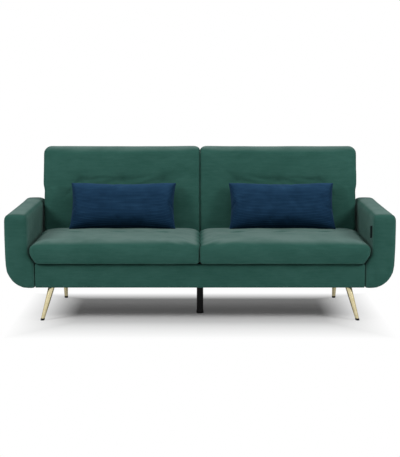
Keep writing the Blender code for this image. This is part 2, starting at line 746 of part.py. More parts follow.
def make_pin(name, hinge, base_pivot):
    """A turned pin through the plate and the strap, with a head at each end."""
    at, way, _ = hinge
    grip = PLATE + PLATE_PLAY / 2 + GAP
    ends = grip + PIN_HEAD_THICK
    profile = [(0, ends), (PIN_HEAD, ends), (PIN_HEAD, grip), (PIN, grip)]
    profile += [(r, -x) for r, x in reversed(profile)]
    mesh = bpy.data.meshes.new(f"hinge_pin_{name}")
    points = [(r, 0, x) for r, x in profile]
    mesh.from_pydata(points, [(i, i + 1) for i in range(len(points) - 1)], [])
    pin = add(mesh.name, mesh, "zinc_steel", base_pivot)
    turn = pin.modifiers.new("Turned", "SCREW")
    turn.steps = turn.render_steps = 12
    turn.use_merge_vertices = True
    turn.merge_threshold = 0.0001
    pin.location.x = at
    pin.rotation_euler.y = math.pi / 2


def hinge_slot(hinge, slot_front):
    """The opening in the back's lower rear edge that the fixed plate stands in, at every angle."""
    at = hinge[0]
    reach = PLATE_PLAY / 2 + PLATE + GAP + PIN_HEAD_THICK + SLOT_PLAY
    outside = BACK_THICK
    low = (at - reach, -slot_front, -BACK_BELOW - outside)
    high = (at + reach, outside, PAWL_TOP + SLOT_PLAY)
    return box(low, high)


def strap_slot(hinge):
    """The pocket beside the stile that the strap and its bolt heads lie in."""
    at, way, _ = hinge
    near = at - way * (BOLT_HEAD_THICK + 2 * GAP)
    far = stile_face(hinge) + way * LAP
    half = STRAP_HALF + GAP
    return box((near, -half, 0), (far, half, STRAP_TOP + GAP))


def make_hinges(name, side, pivot, base_pivot):
    for hinge in hinges(side):
        tag = f"{name}_{hinge[2]}"
        make_fixed_plate(tag, hinge, base_pivot)
        make_strap(tag, hinge, pivot)
        make_pawl(tag, hinge, pivot)
        make_pin(tag, hinge, base_pivot)


def tapered(low_radius, high_radius, foot, top, sides=20):
    """A tapered round bar between two points, cut level at both of them."""
    foot, top = Vector(foot), Vector(top)
    run = top - foot
    spare = high_radius
    way = run.normalized()
    slope = (high_radius - low_radius) / run.length
    bm = bmesh.new()
    bmesh.ops.create_cone(
        bm,
        cap_ends=True,
        segments=sides,
        radius1=low_radius - slope * spare,
        radius2=high_radius + slope * spare,
        depth=run.length + 2 * spare,
        matrix=Matrix.Translation((foot + top) / 2) @ Vector((0, 0, 1)).rotation_difference(way).to_matrix().to_4x4(),
    )
    for place, normal in ((top, Vector((0, 0, 1))), (foot, Vector((0, 0, -1)))):
        everything = bm.verts[:] + bm.edges[:] + bm.faces[:]
        cut = bmesh.ops.bisect_plane(bm, geom=everything, plane_co=place, plane_no=normal, clear_outer=True)
        rim = [e for e in cut["geom_cut"] if isinstance(e, bmesh.types.BMEdge)]
        bmesh.ops.contextual_create(bm, geom=rim)
    return bm


def make_leg_plate(name, centre, carrier):
    """A screwed steel plate under the frame, with its four screw heads."""
    half = LEG_PLATE / 2
    x, y = centre
    corners = [(x + a * half, y + b * half, LEG_PLATE_ROUND) for a, b in ((-1, -1), (1, -1), (1, 1), (-1, 1))]
    outline = rounded(corners, steps=2)
    plate = add(name, prism(outline, PLATE_BOTTOM, PLATE_TOP, "Z"), "zinc_steel", carrier)
    off = half - SCREW_INSET
    for a, b in ((-1, -1), (1, -1), (1, 1), (-1, 1)):
        head = circle(SCREW, 6, (x + a * off, y + b * off))
        boolean(plate, "UNION", prism(head, PLATE_BOTTOM - SCREW_THICK, PLATE_BOTTOM + LAP, "Z"))


def make_leg(name, centre, splay, carrier):
    """A tapered brass leg on its plate, with a plastic glide on its tip; splay is how far the foot stands out."""
    make_leg_plate(f"leg_plate_{name}", centre, carrier)
    x, y = centre
    share = GLIDE / LEG_TOP

    def along(height):
        out = 1 - height / LEG_TOP
        return (x + splay[0] * out, y + splay[1] * out, height)

    tip = LEG_FOOT_RADIUS + (LEG_TOP_RADIUS - LEG_FOOT_RADIUS) * share
    leg = tapered(tip, LEG_TOP_RADIUS, along(GLIDE + GAP), along(LEG_TOP))
    add(f"leg_{name}", leg, "brass", carrier)
    glide = tapered(LEG_FOOT_RADIUS, tip, along(0), along(GLIDE))
    add(f"leg_glide_{name}", glide, "black_plastic", carrier)


def make_legs(carrier):
    for name, side in SIDES.items():
        for end, inset, y, splay in (
            ("front", FRONT_LEG_IN, FRONT_LEG_Y, FRONT_SPLAY),
            ("rear", REAR_LEG_IN, REAR_LEG_Y, REAR_SPLAY),
        ):
            centre = (side * (ARM_HEEL_IN - inset), y)
            make_leg(f"{end}_{name}", centre, (side * splay[0], splay[1]), carrier)


def make_centre_leg(carrier):
    """A black moulded leg under the middle beam: a flange, a waisted shaft and a wider foot."""
    make_leg_plate("centre_leg_plate", (0, CENTRE_LEG_Y), carrier)
    flange = CENTRE_LEG_FLANGE
    profile = [
        (0, LEG_TOP),
        (CENTRE_LEG_TOP, LEG_TOP),
        (CENTRE_LEG_TOP, LEG_TOP - flange),
        (CENTRE_LEG_WAIST, LEG_TOP - flange * 2),
        (CENTRE_LEG_WAIST, flange * 4),
        (CENTRE_LEG_FOOT, flange * 2),
        (CENTRE_LEG_FOOT, 0),
        (0, 0),
    ]
    mesh = bpy.data.meshes.new("centre_leg")
    points = [(r, 0, z) for r, z in profile]
    mesh.from_pydata(points, [(i, i + 1) for i in range(len(points) - 1)], [])
    leg = add("centre_leg", mesh, "black_plastic", carrier)
    turn = leg.modifiers.new("Turned", "SCREW")
    turn.steps = turn.render_steps = 20
    turn.use_merge_vertices = True
    turn.merge_threshold = 0.0001
    leg.location.y = CENTRE_LEG_Y


def make_pillow(name, carrier):
    """A loose pillow: a crowned form whose sides pull in between pointed corners."""

    def place(u, v, w):
        a, b, c = 2 * u - 1, 2 * w - 1, 1 - 2 * v
        side = PILLOW_WIDTH / 2 - PILLOW_WAIST * (1 - b * b)
        height = PILLOW_HEIGHT / 2 - PILLOW_WAIST * 0.7 * (1 - a * a)
        fill = math.sqrt((1 - a**4) * (1 - b**4))
        thick = PILLOW_SEAM + (PILLOW_THICK * 1.12 - PILLOW_SEAM) * fill
        return a * side, -c * thick / 2, b * height

    cuts = (0.05, 0.2, 0.5, 0.8, 0.95)
    pillow = padded(f"pillow_{name}", cage(cuts, (), cuts, place), "navy_weave", carrier)
    pillow.location = (SIDES[name] * (ARM_IN - PILLOW_FROM_ARM[name]), 0, PIVOT_Z + BACK_ABOVE)
    pillow.rotation_euler.x = -PILLOW_LEAN
    return pillow


def settle_pillow(pillow, seat):
    """Leans a pillow against the back's front face, then slides it down that face until it meets the seat."""
    bpy.context.view_layer.update()
    forward = Vector((0, -math.cos(RECLINE), math.sin(RECLINE)))
    down = Vector((0, -math.sin(RECLINE), -math.cos(RECLINE)))
    form = evaluated(pillow)
    nearest = min((v.co - PIVOT).dot(forward) for v in form.verts)
    pillow.location += forward * (BACK_FRONT + GAP - nearest)
    form.free()
    bpy.context.view_layer.update()
    form, cushion = evaluated(pillow), evaluated(seat)
    seat_tree, form_tree = BVHTree.FromBMesh(cushion), BVHTree.FromBMesh(form)
    drops = [seat_tree.ray_cast(v.co, down)[3] for v in form.verts]
    drops += [form_tree.ray_cast(v.co, -down)[3] for v in cushion.verts]
    pillow.location += down * (min(d for d in drops if d is not None) - GAP)
    form.free()
    cushion.free()


def place_origin(root):
    """Moves the sofa so that the middle of its footprint is at the origin."""
    bpy.context.view_layer.update()
    reach = []
    for piece in PARTS.objects:
        if piece.type != "EMPTY":
            form = evaluated(piece)
            reach += [v.co.y for v in form.verts]
            form.free()
    root.location.y = -(min(reach) + max(reach)) / 2


def make_sofa_bed():
    root = empty("sofa_bed", (0, 0, 0))
    base_pivot = empty("hinge_line", PIVOT, root)
    make_front_rail(root)
    make_cross_rails(root)
    make_legs(root)
    make_centre_leg(root)
    for name, side in SIDES.items():
        pivot = empty(f"back_{name}_pivot", PIVOT, root, -RECLINE)
        make_arm(name, side, root)
        make_side_rail(name, side, root)
        make_springs(name, side, root)
        make_seat(name, side, root)
        make_back_frame(name, side, pivot)
        make_back_cushion(name, side, pivot)
        make_hinges(name, side, pivot, base_pivot)
        settle_pillow(make_pillow(name, root), PARTS.objects[f"seat_cushion_{name}"])
    place_origin(root)


clear_scene()
PARTS = new_collection("futon_sofa_bed")
CUTTERS = new_collection("cutters")
make_sofa_bed()
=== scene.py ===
"""Looks of the click-clack futon sofa bed: green velvet, navy pillows, brass legs and bare hinges.

Metres, +Z up, front towards -Y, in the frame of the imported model. "Out" is away from the sofa's middle.
Soft pieces are shaped on the right and mirrored. The back panels are shaped in their own upright frame:
rearward from the hinge line and up the panel, before they are leaned back.
"""

import json
import math

import bmesh
import bpy
import numpy as np
from mathutils import Matrix, Vector, noise


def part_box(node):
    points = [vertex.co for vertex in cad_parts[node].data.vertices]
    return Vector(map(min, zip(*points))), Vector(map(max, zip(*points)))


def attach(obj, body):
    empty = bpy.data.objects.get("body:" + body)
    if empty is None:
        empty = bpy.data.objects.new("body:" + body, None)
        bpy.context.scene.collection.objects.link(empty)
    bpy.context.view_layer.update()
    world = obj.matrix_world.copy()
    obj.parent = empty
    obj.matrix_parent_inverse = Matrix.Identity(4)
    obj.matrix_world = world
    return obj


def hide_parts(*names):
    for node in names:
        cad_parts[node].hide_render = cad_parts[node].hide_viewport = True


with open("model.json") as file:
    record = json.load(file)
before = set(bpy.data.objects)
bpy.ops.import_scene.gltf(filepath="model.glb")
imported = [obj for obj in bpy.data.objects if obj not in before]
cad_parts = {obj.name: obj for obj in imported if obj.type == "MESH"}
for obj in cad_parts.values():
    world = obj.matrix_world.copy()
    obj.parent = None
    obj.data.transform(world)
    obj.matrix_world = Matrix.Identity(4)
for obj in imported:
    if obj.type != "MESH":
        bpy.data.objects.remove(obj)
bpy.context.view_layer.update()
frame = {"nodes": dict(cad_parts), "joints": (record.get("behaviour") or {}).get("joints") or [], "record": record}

SIDES = ("left", "right")

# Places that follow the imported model
ARM_LOW, ARM_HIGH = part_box("arm_pad_right")
SEAT_LOW, SEAT_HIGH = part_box("seat_cushion_right")
BACK_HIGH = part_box("back_cushion_right")[1]
COVER_LOW, COVER_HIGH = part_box("front_rail_cover")
PIVOT = Vector(next(j["pos_m"] for j in frame["joints"] if j["name"] == "back_right_recline"))
FEET = {m["name"]: Vector(m["pos_m"]) for m in frame["record"]["mounts"]}
RECLINE = math.radians(17)  # of the upright back from the vertical

# Arms
ARM_HEEL = 0.032  # how much further in the foot of an arm reaches than its wall
ARM_WALL = ARM_LOW.x + ARM_HEEL
ARM_HEEL_TOP = 0.290
ARM_HEEL_RISE = 0.050
ARM_HEEL_ROUND = 0.030
ARM_FLARE = 0.006  # how far the top of an arm leans out
ARM_FLARE_FROM, ARM_FLARE_TO = 0.14, 0.40  # heights between which it does
ARM_LOWER_ROUND = 0.109
ARM_EDGE_ROUND = 0.026
ARM_TOE_ROUND = 0.012
ARM_END_ROUND = 0.017
ARM_SKIN = 0.001  # how much smaller the arm is before it is stuffed
ARM_CROWN = 0.009
ARM_SAG = 0.004  # how far the padding under an arm hangs below its frame
ARM_GIVE = 0.003  # furthest that the stuffing moves the cover
ARM_SEAM_DEPTH = 0.0016

# Seat
SEAT_BASE = SEAT_LOW.z
SEAT_EDGE = 0.402
SEAT_CROWN = 0.014
SEAT_NOSE_ROUND = 0.034
SEAT_HEM_ROUND = 0.020
SEAT_REAR_ROUND = 0.020
SEAT_FOOT_ROUND = 0.010
SEAT_NOSE = 0.010
SEAT_INNER_ROUND = 0.018
SEAT_OUTER_ROUND = 0.016
SEAT_SHOULDER = (0.100, 0.032)  # across and down, the round of the top outer corner
SEAT_INNER_SHOULDER = (0.085, 0.022)
SEAT_PLAY = 0.002  # from the seat's side to the arm
SEAT_SPLIT = 0.0018  # from the sofa's middle to the seat's inner side
SEAT_SWAY = 0.0030  # how far the line between the two halves wanders
SEAT_SWAY_LENGTH = 0.12
SEAT_TO_BACK = 0.003  # from the seat's rear face to the sweep of the back's nose
SEAT_GIVE = 0.006
SEAT_TUFT_DEPTH, SEAT_TUFT_WIDTH = 0.019, 0.030
SEAT_VALLEY_DEPTH, SEAT_VALLEY_WIDTH = 0.003, 0.03  # the shallow dip along a row of tufts

# Back
BACK_FRONT = 0.105
BACK_THICK = 0.150
BACK_ABOVE = 0.517
BACK_BELOW = 0.085
BACK_SWING = 0.108
BACK_SIDE_PLAY = 0.004
BACK_WAIST = 0.006
BACK_FOOT_ROUND = 0.010
BACK_TOP_FRONT_ROUND = 0.044
BACK_TOP_REAR_ROUND = 0.034
BACK_INNER_ROUND = 0.014
BACK_OUTER_ROUND = 0.018
BACK_RISE = 0.012
BACK_BULGE = 0.007  # how much wider a back is above the arms than between them
BACK_OUTER_CORNER = 0.042
BACK_INNER_CORNER = 0.032
BACK_SPLIT = 0.00006  # from the sofa's middle to the back's inner side
BACK_PARTING = 0.0022  # how much further the inner side lies from the middle near its front edge
# up a back, from where it is clear of the arms at any angle
BACK_CLEAR = math.hypot(ARM_HIGH.y - PIVOT.y, ARM_HIGH.z - PIVOT.z) + 0.01
BACK_GIVE = 0.0035
BACK_SEAM_IN = 0.014  # from the rear face to the seam round it
BACK_SEAM_DEPTH = 0.0014
BACK_TUFT_DEPTH, BACK_TUFT_WIDTH = 0.012, 0.034

# Tufts: their columns, counted from the sofa's middle, and their rows
TUFT_COLUMNS = (0.205, 0.435, 0.665)
SEAT_TUFT_Y = -0.078
BACK_TUFT_UP = 0.320
TUFT_BUTTON = 0.010  # round a tuft, where its thread holds the cover down

# Pillows
PILLOW_WIDTH = 0.585
PILLOW_HEIGHT = 0.292
PILLOW_THICK = 0.116
PILLOW_WAIST_ACROSS, PILLOW_WAIST_UP = 0.022, 0.060  # how much the middles of its edges draw in
PILLOW_LEAN = math.radians(34)
PILLOW_SHIFT = {"left": -0.013, "right": 0.006}  # how far each was pushed sideways
PILLOW_GIVE = 0.012
RIB_PITCH = 0.0088
RIB_HEIGHT = 0.0011

# Rail cover and seam tag
COVER_THICK = 0.0034
COVER_TURN = 0.0085  # radius of its folds
COVER_HEM = 0.012  # how far it turns in under the rail
COVER_PUFF = 0.0022
TAG_HEIGHT, TAG_REACH = 0.062, 0.013
TAG_MIDDLE = 0.455  # height of its middle
TAG_IN = 0.019  # from the arm's front
RIBBON_THICK = 0.0012

# Legs
LEG_TOP_RADIUS = 0.0162
LEG_FOOT_RADIUS = 0.0090
LEG_ROUND = 0.0006
GLIDE_RADIUS = 0.0096
GLIDE_SPREAD = 0.0112  # how much wider a glide would be if it were as long as its leg
GLIDE_RISE = 0.0102
GLIDE_ROUND = 0.0012

# Dust cover
DUST_CLOTH_THICK = 0.0008
DUST_CLOTH_SLACK = 0.0050
DUST_CLOTH_RIPPLE = 0.0012

# Floor, lamps and camera
FLOOR_GAIN = 0.55  # shade of the floor where it is seen, which the lamps lift to white
FLOOR_GLOW = 0.062  # least share of plain white in it
FILL_LIGHT = 0.18  # strength of the light from all round
CAMERA_LENS = 84.0
CAMERA_AHEAD = 5.3075  # from the front of the arms
CAMERA_HEIGHT = 1.3123
CAMERA_DIP = math.radians(8.97)

# All padded pieces
SEAM_WIDTH = 0.004
EVEN_MESH = 0.0095  # size of the padded pieces' faces before they are refined


def ease(value, low, high):
    """0 below low, 1 above high, and a smooth rise between."""
    share = np.clip((value - low) / (high - low), 0, 1)
    return share * share * (3 - 2 * share)


def dome(share, power):
    """1 in the middle of a span from 0 to 1, falling to 0 at its ends, later for a higher power."""
    return np.clip(1 - np.abs(2 * share - 1) ** power, 0, None)


def dimple(distance, width):
    """1 at a tuft, falling to 0 round it with straight, steep sides."""
    return np.exp(-((distance / width) ** 1.3))


def valley(distance, width):
    """1 along a line, falling to 0 beside it with a round bottom."""
    return np.exp(-((distance / width) ** 2))


# ---------------------------------------------------------------- meshes


def select_only(piece):
    bpy.ops.object.select_all(action="DESELECT")
    piece.select_set(True)
    bpy.context.view_layer.objects.active = piece


def apply(piece, kind, **settings):
    """Adds a modifier to a piece and applies it."""
    modifier = piece.modifiers.new(kind, kind)
    for name, value in settings.items():
        setattr(modifier, name, value)
    select_only(piece)
    bpy.ops.object.modifier_apply(modifier=modifier.name)


def new_piece(name, shape):
    """A piece with a shape as its mesh. The shape is used up."""
    data = bpy.data.meshes.new(name)
    shape.to_mesh(data)
    shape.free()
    piece = bpy.data.objects.new(name, data)
    bpy.context.scene.collection.objects.link(piece)
    return piece


def new_grid(name, across, along):
    """A flat square sheet, 1 m each way, whose mesh has so many faces across and along it."""
    bpy.ops.object.select_all(action="DESELECT")
    bpy.ops.mesh.primitive_grid_add(x_subdivisions=across, y_subdivisions=along, size=1)
    sheet = bpy.context.object
    sheet.name = sheet.data.name = name
    return sheet


def points_of(piece):
    flat = np.empty(len(piece.data.vertices) * 3, np.float32)
    piece.data.vertices.foreach_get("co", flat)
    return flat.reshape(-1, 3).astype(float)


def normals_of(piece):
    flat = np.empty(len(piece.data.vertices) * 3, np.float32)
    piece.data.vertices.foreach_get("normal", flat)
    return flat.reshape(-1, 3).astype(float)


def move_points(piece, points):
    piece.data.vertices.foreach_set("co", np.asarray(points, np.float32).ravel())
    piece.data.update()


def mark(piece, name, values):
    """Keeps one number for each point of a piece, for its material to read."""
    attribute = piece.data.attributes.get(name) or piece.data.attributes.new(name, "FLOAT", "POINT")
    attribute.data.foreach_set("value", np.asarray(values, np.float32))


def smooth_noise(points, size, seed):
    """Soft noise between about -1 and 1 whose swells are about size across."""
    offset = Vector((seed * 13.7, seed * 7.1, seed * 3.3))
    return np.array([noise.noise(Vector(p) / size + offset) for p in points])


def rounded(corners, steps=6):
    """An outline whose corners (a, b, radius) are rounded with arcs."""
    outline = []
    for i, (a, b, radius) in enumerate(corners):
        here = Vector((a, b))
        if not radius:
            outline.append(here)
            continue
        to_last = (Vector(corners[i - 1][:2]) - here).normalized()
        to_next = (Vector(corners[(i + 1) % len(corners)][:2]) - here).normalized()
        half_angle = to_last.angle(to_next) / 2
        centre = here + (to_last + to_next).normalized() * radius / math.sin(half_angle)
        reach = radius / math.tan(half_angle)
        first, last = (here + way * reach - centre for way in (to_last, to_next))
        turn = math.atan2(first.cross(last), first.dot(last))
        for k in range(steps + 1):
            outline.append(centre + Matrix.Rotation(turn * k / steps, 2) @ first)
    return outline


def prism(outline, low, high, axis):
    """An outline across an axis, drawn out along it from low to high."""
    place = {
        "X": lambda a, b, along: (along, a, b),
        "Y": lambda a, b, along: (a, along, b),
    }[axis]
    bm = bmesh.new()
    face = bm.faces.new([bm.verts.new(place(a, b, low)) for a, b in outline])
    drawn = bmesh.ops.extrude_face_region(bm, geom=[face])
    moved = [v for v in drawn["geom"] if isinstance(v, bmesh.types.BMVert)]
    bmesh.ops.translate(bm, verts=moved, vec=place(0, 0, high - low))
    bmesh.ops.recalc_face_normals(bm, faces=bm.faces[:])
    return bm


def turned_edge(first, second, reach, second_reach=None):
    """How deep points lie behind two faces that meet at an edge, once that edge is rounded.

    The round takes up reach behind the first face, and as much or second_reach behind the second.
    """
    second_reach = reach if second_reach is None else second_reach
    a = np.clip(1 - first / reach, 0, 1)
    b = np.clip(1 - second / second_reach, 0, 1)
    return (
        first + reach * a * (1 - np.sqrt(1 - b * b / 2)),
        second + second_reach * b * (1 - np.sqrt(1 - a * a / 2)),
    )


def behind_outline(outline, flat):
    """How deep points lie inside an outline, and the way in from the part of it nearest to each."""
    corners = np.array([tuple(corner) for corner in outline])
    following = np.roll(corners, -1, axis=0)
    turning = np.sum(corners[:, 0] * following[:, 1] - corners[:, 1] * following[:, 0])
    nearest = np.full(len(flat), np.inf)
    depth, inward = np.zeros(len(flat)), np.zeros((len(flat), 2))
    for start, end in zip(corners, following):
        run = end - start
        length = np.hypot(*run)
        if length < 1e-7:
            continue
        way_in = np.array((-run[1], run[0])) / length * np.sign(turning)
        along = np.clip((flat - start) @ run / length**2, 0, 1)
        off = flat - start - along[:, None] * run
        distance = np.hypot(*off.T)
        closer = distance < nearest
        nearest[closer] = distance[closer]
        depth[closer] = ((flat - start) @ way_in)[closer]
        inward[closer] = way_in
    return depth, inward


def round_rims(points, outline, low, high, axis, low_round, high_round):
    """Rounds the two rims of a prism."""
    along = "XY".index(axis)
    across = [1, 2] if axis == "X" else [0, 2]
    depth, inward = behind_outline(outline, points[:, across])
    middle = (low + high) / 2
    past = points[:, along] - middle
    radius = np.where(past > 0, high_round, low_round)
    end = (high - low) / 2 - np.abs(past)
    new_depth, new_end = turned_edge(depth, end, radius)
    points[:, across] += inward * (new_depth - depth)[:, None]
    points[:, along] -= np.sign(past) * (new_end - end)
    return points


def box(low, high):
    """A plain block between two corners."""
    low, high = Vector(low), Vector(high)
    size = Matrix.Diagonal((*[abs(b - a) for a, b in zip(low, high)], 1))
    bm = bmesh.new()
    bmesh.ops.create_cube(bm, size=1, matrix=Matrix.Translation((low + high) / 2) @ size)
    return bm


def carve(piece, shape):
    """Cuts a shape out of a piece."""
    cutter = new_piece("cutter", shape)
    apply(piece, "BOOLEAN", operation="DIFFERENCE", solver="EXACT", object=cutter)
    bpy.data.objects.remove(cutter)


# ---------------------------------------------------------------- upholstery


def upholster(name, shape, form):
    """A padded piece: a closed shape with an even mesh, drawn into its form."""
    piece = new_piece(name, shape)
    apply(piece, "REMESH", mode="VOXEL", voxel_size=EVEN_MESH)
    move_points(piece, form(points_of(piece)))
    apply(piece, "SMOOTH", factor=0.5, iterations=2)
    return piece


def swell(piece, held, reach, pressure=4.0, frames=16):
    """Fills a padded piece as cloth under pressure.

    held is how firmly each point stays, and reach the furthest that a point may move.
    """
    start = points_of(piece)
    group = piece.vertex_groups.new(name="held")
    for level in np.unique(np.round(held, 1)):
        if level > 0:
            members = np.flatnonzero(np.round(held, 1) == level)
            group.add(members.tolist(), float(level), "REPLACE")
    cloth = piece.modifiers.new("Stuffing", "CLOTH")
    cloth.settings.quality = 3
    cloth.settings.use_pressure = True
    cloth.settings.uniform_pressure_force = pressure
    cloth.settings.vertex_group_mass = "held"
    cloth.settings.effector_weights.gravity = 0
    cloth.collision_settings.use_collision = False
    cloth.point_cache.frame_start = 1
    cloth.point_cache.frame_end = frames
    for number in range(1, frames + 1):
        bpy.context.scene.frame_set(number)
    select_only(piece)
    bpy.ops.object.modifier_apply(modifier=cloth.name)
    bpy.context.scene.frame_set(1)
    piece.vertex_groups.clear()
    moved = points_of(piece) - start
    length = np.linalg.norm(moved, axis=1, keepdims=True)
    soft_cap = reach * np.tanh(length / reach) / np.maximum(length, 1e-9)
    move_points(piece, start + moved * soft_cap)


def left_copy(piece, name):
    """A mirrored copy of a right-hand piece, with its own mesh."""
    copy = piece.copy()
    copy.data = piece.data.copy()
    copy.name = copy.data.name = name
    bpy.context.scene.collection.objects.link(copy)
    move_points(copy, points_of(copy) * (-1, 1, 1))
    copy.data.flip_normals()
    return copy


def softened(piece, values, rounds):
    """One value for each point of a piece, evened out with its neighbours'."""
    ends = np.empty(len(piece.data.edges) * 2, np.int32)
    piece.data.edges.foreach_get("vertices", ends)
    first, second = ends.reshape(-1, 2).T
    count = len(values)
    links = np.bincount(first, minlength=count) + np.bincount(second, minlength=count)
    for _ in range(rounds):
        around = np.bincount(first, values[second], count)
        around += np.bincount(second, values[first], count)
        values = (values + around / np.maximum(links, 1)) / 2
    return values


def mark_painted_sheen(piece, rounds=5, steep=0.78, level=0.985, inward=0.0, sheen_share=1.0):
    """Keeps a painted sheen: the pile painted pale where it faces up, and less so where it faces the sofa's
    middle.

    Between steep and level, which are heights of the normals, it grows from none to all. inward is the
    share of the faces towards the middle, and the last argument how much of that painted sheen each point gets.
    """
    normals = normals_of(piece)
    upward = softened(piece, normals[:, 2], rounds)
    toward = softened(piece, -normals[:, 0] * np.sign(points_of(piece)[:, 0]), rounds)
    # brushed here is the painted sheen: pale where the normals face up, and for inward, towards the middle
    brushed = np.maximum(ease(upward, steep, level), inward * ease(toward, 0.5, 0.95))
    mark(piece, "bloom", sheen_share * brushed)


def creased(points, normals, length, height, seed):
    """Faint soft creases, about three times as long along X as across it."""
    swells = smooth_noise(points * (0.35, 1.0, 1.0), length, seed)
    return points + normals * (swells * height)[:, None]


def refine(piece):
    """One more subdivision, with smooth shading."""
    apply(piece, "SUBSURF", levels=1, render_levels=1)
    piece.data.shade_smooth()


def sink(points, normals, distance, width, depth):
    """Draws points in along their normals near a line, by depth where the distance to it is 0."""
    return points - normals * (depth * valley(distance, width))[:, None]


def meet_twin(points, split, reach=0.05, unevenness=0.0025):
    """Draws a half's inner side flat, at the split from the sofa's middle, so that it meets its twin."""
    off = np.abs(points[:, 0])
    level = split + unevenness
    drawn = split + np.maximum(off - level, 0) * (reach - split) / (reach - level)
    points[:, 0] = np.sign(points[:, 0]) * np.where(off < reach, drawn, off)
    return points


def dress(piece, body, material):
    """Gives a piece its material, and the body that it moves with."""
    piece.data.materials.append(material)
    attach(piece, body)


def finish_padded(piece, body, material, node):
    """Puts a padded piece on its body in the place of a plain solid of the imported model."""
    dress(piece, body, material)
    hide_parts(node)


# ---------------------------------------------------------------- materials


class Socket:
    """An output of a node. Arithmetic on it adds Math nodes."""

    def __init__(self, nodes, link):
        self.nodes, self.link = nodes, link

    def __add__(self, other):
        return self.nodes.math("ADD", self, other)

    def __mul__(self, other):
        return self.nodes.math("MULTIPLY", self, other)

    __radd__, __rmul__ = __add__, __mul__


class Nodes:
    """The nodes of a material or a world."""

    def __init__(self, tree):
        self.tree = tree

    def node(self, kind, settings=None, output=0, **sockets):
        made = self.tree.nodes.new("ShaderNode" + kind)
        for name, value in (settings or {}).items():
            setattr(made, name, value)
        return self.plug(made, output, {k.replace("_", " "): v for k, v in sockets.items()})

    def plug(self, made, output, sockets):
        for name, value in sockets.items():
            if isinstance(value, Socket):
                self.tree.links.new(value.link, made.inputs[name])
            else:
                made.inputs[name].default_value = value
        return Socket(self, made.outputs[output])

    def math(self, operation, *values):
        made = self.tree.nodes.new("ShaderNodeMath")
        made.operation = operation
        return self.plug(made, 0, dict(enumerate(values)))

    def mixed(self, share, first, second):
        """A mix of two shaders."""
        made = self.tree.nodes.new("ShaderNodeMixShader")
        return self.plug(made, 0, {0: share, 1: first, 2: second})

    def seen_by(self, *rays):
        """1 to the camera's own rays and to any other kinds that are named, and 0 to the rest."""
        seen = self.node("LightPath", output="Is Camera Ray")
        for ray in rays:
            seen = self.math("MAXIMUM", seen, self.node("LightPath", output=f"Is {ray} Ray"))
        return seen


class Finish(Nodes):
    """A material and its nodes. What is the same all over is set on the shader's own sockets."""

    def __init__(self, name, **even):
        self.material = bpy.data.materials.new(name)
        self.material.use_nodes = True
        super().__init__(self.material.node_tree)
        self.shader = self.tree.nodes["Principled BSDF"]
        for socket, value in even.items():
            self.shader.inputs[socket.replace("_", " ")].default_value = value

    def place(self, stretch=(1, 1, 1)):
        """Where a point lies on the piece, stretched along each axis."""
        here = self.node("TexCoord", output="Object")
        return self.node("Mapping", Vector=here, Scale=stretch)

    def grain(self, scale, detail=2.0, roughness=0.5, stretch=(1, 1, 1)):
        """Noise between 0 and 1."""
        return self.node(
            "TexNoise", Vector=self.place(stretch), Scale=scale, Detail=detail, Roughness=roughness
        )

    def spread(self, value, low, high, to_low=0.0, to_high=1.0):
        """Spreads the part of a value between low and high over a new range, and clamps it."""
        return self.node(
            "MapRange", {"clamp": True},
            Value=value, From_Min=low, From_Max=high, To_Min=to_low, To_Max=to_high,
        )

    def blend(self, share, first, second):
        """A mix of two colours."""
        made = self.tree.nodes.new("ShaderNodeMix")
        made.data_type = "RGBA"
        return self.plug(made, 2, {0: share, 6: first, 7: second})

    def told(self, name):
        """The number that a piece keeps for each of its points."""
        return self.node("Attribute", {"attribute_name": name}, output="Fac")

    def relief(self, height, strength, distance, under=None):
        """A bump, over another one if that is given."""
        sockets = {"Height": height, "Strength": strength, "Distance": distance}
        if under:
            sockets["Normal"] = under
        return self.node("Bump", **sockets)

    def surface(self, **sockets):
        """Plugs values into the shader, and gives the finished material."""
        self.plug(self.shader, 0, {k.replace("_", " "): v for k, v in sockets.items()})
        return self.material


def colour(red, green, blue):
    """A screen colour of 0 to 255 as the linear colour that a socket takes."""

    def linear(level):
        return level / 255 / 12.92 if level <= 10 else ((level / 255 + 0.055) / 1.055) ** 2.4

    return (linear(red), linear(green), linear(blue), 1)


def velvet():
    """Short-pile velvet: a deep green with brushed streaks, a pale painted sheen on the faces the bloom mark
    picks, and dark seams.
    """
    f = Finish("green_velvet", Sheen_Weight=0.10, Sheen_Roughness=0.38, Sheen_Tint=colour(214, 230, 226))
    f.shader.inputs["Specular IOR Level"].default_value = 0.0
    patches = f.grain(11, detail=4, roughness=0.6, stretch=(0.6, 1, 1))
    brushed = f.grain(70, detail=3, roughness=0.65, stretch=(0.25, 1, 1.4))
    pile = f.grain(1400, detail=1)
    tone = f.spread(patches * 0.45 + brushed * 0.35 + pile * 0.2, 0.36, 0.64)
    cloth = f.blend(tone, colour(40, 76, 68), colour(50, 87, 79))
    # Painted sheen: faces marked by bloom are painted a paler grey-green, a little patchy, in place of the light
    # on them
    painted_sheen_mask = f.told("bloom") * f.spread(patches, 0.25, 0.6, 0.6, 1.0)
    cloth_with_painted_sheen = f.blend(painted_sheen_mask, cloth, colour(88, 111, 106))
    seam = f.spread(f.told("seam"), 0.0004, 0.0022)
    soft = f.relief(brushed, 0.2, 0.002)
    return f.surface(
        Base_Color=f.blend(seam, colour(20, 44, 39), cloth_with_painted_sheen),
        Roughness=f.spread(pile + patches, 0.6, 1.4, 0.78, 0.95),
        Normal=f.relief(pile, 0.35, 0.0006, soft),
    )


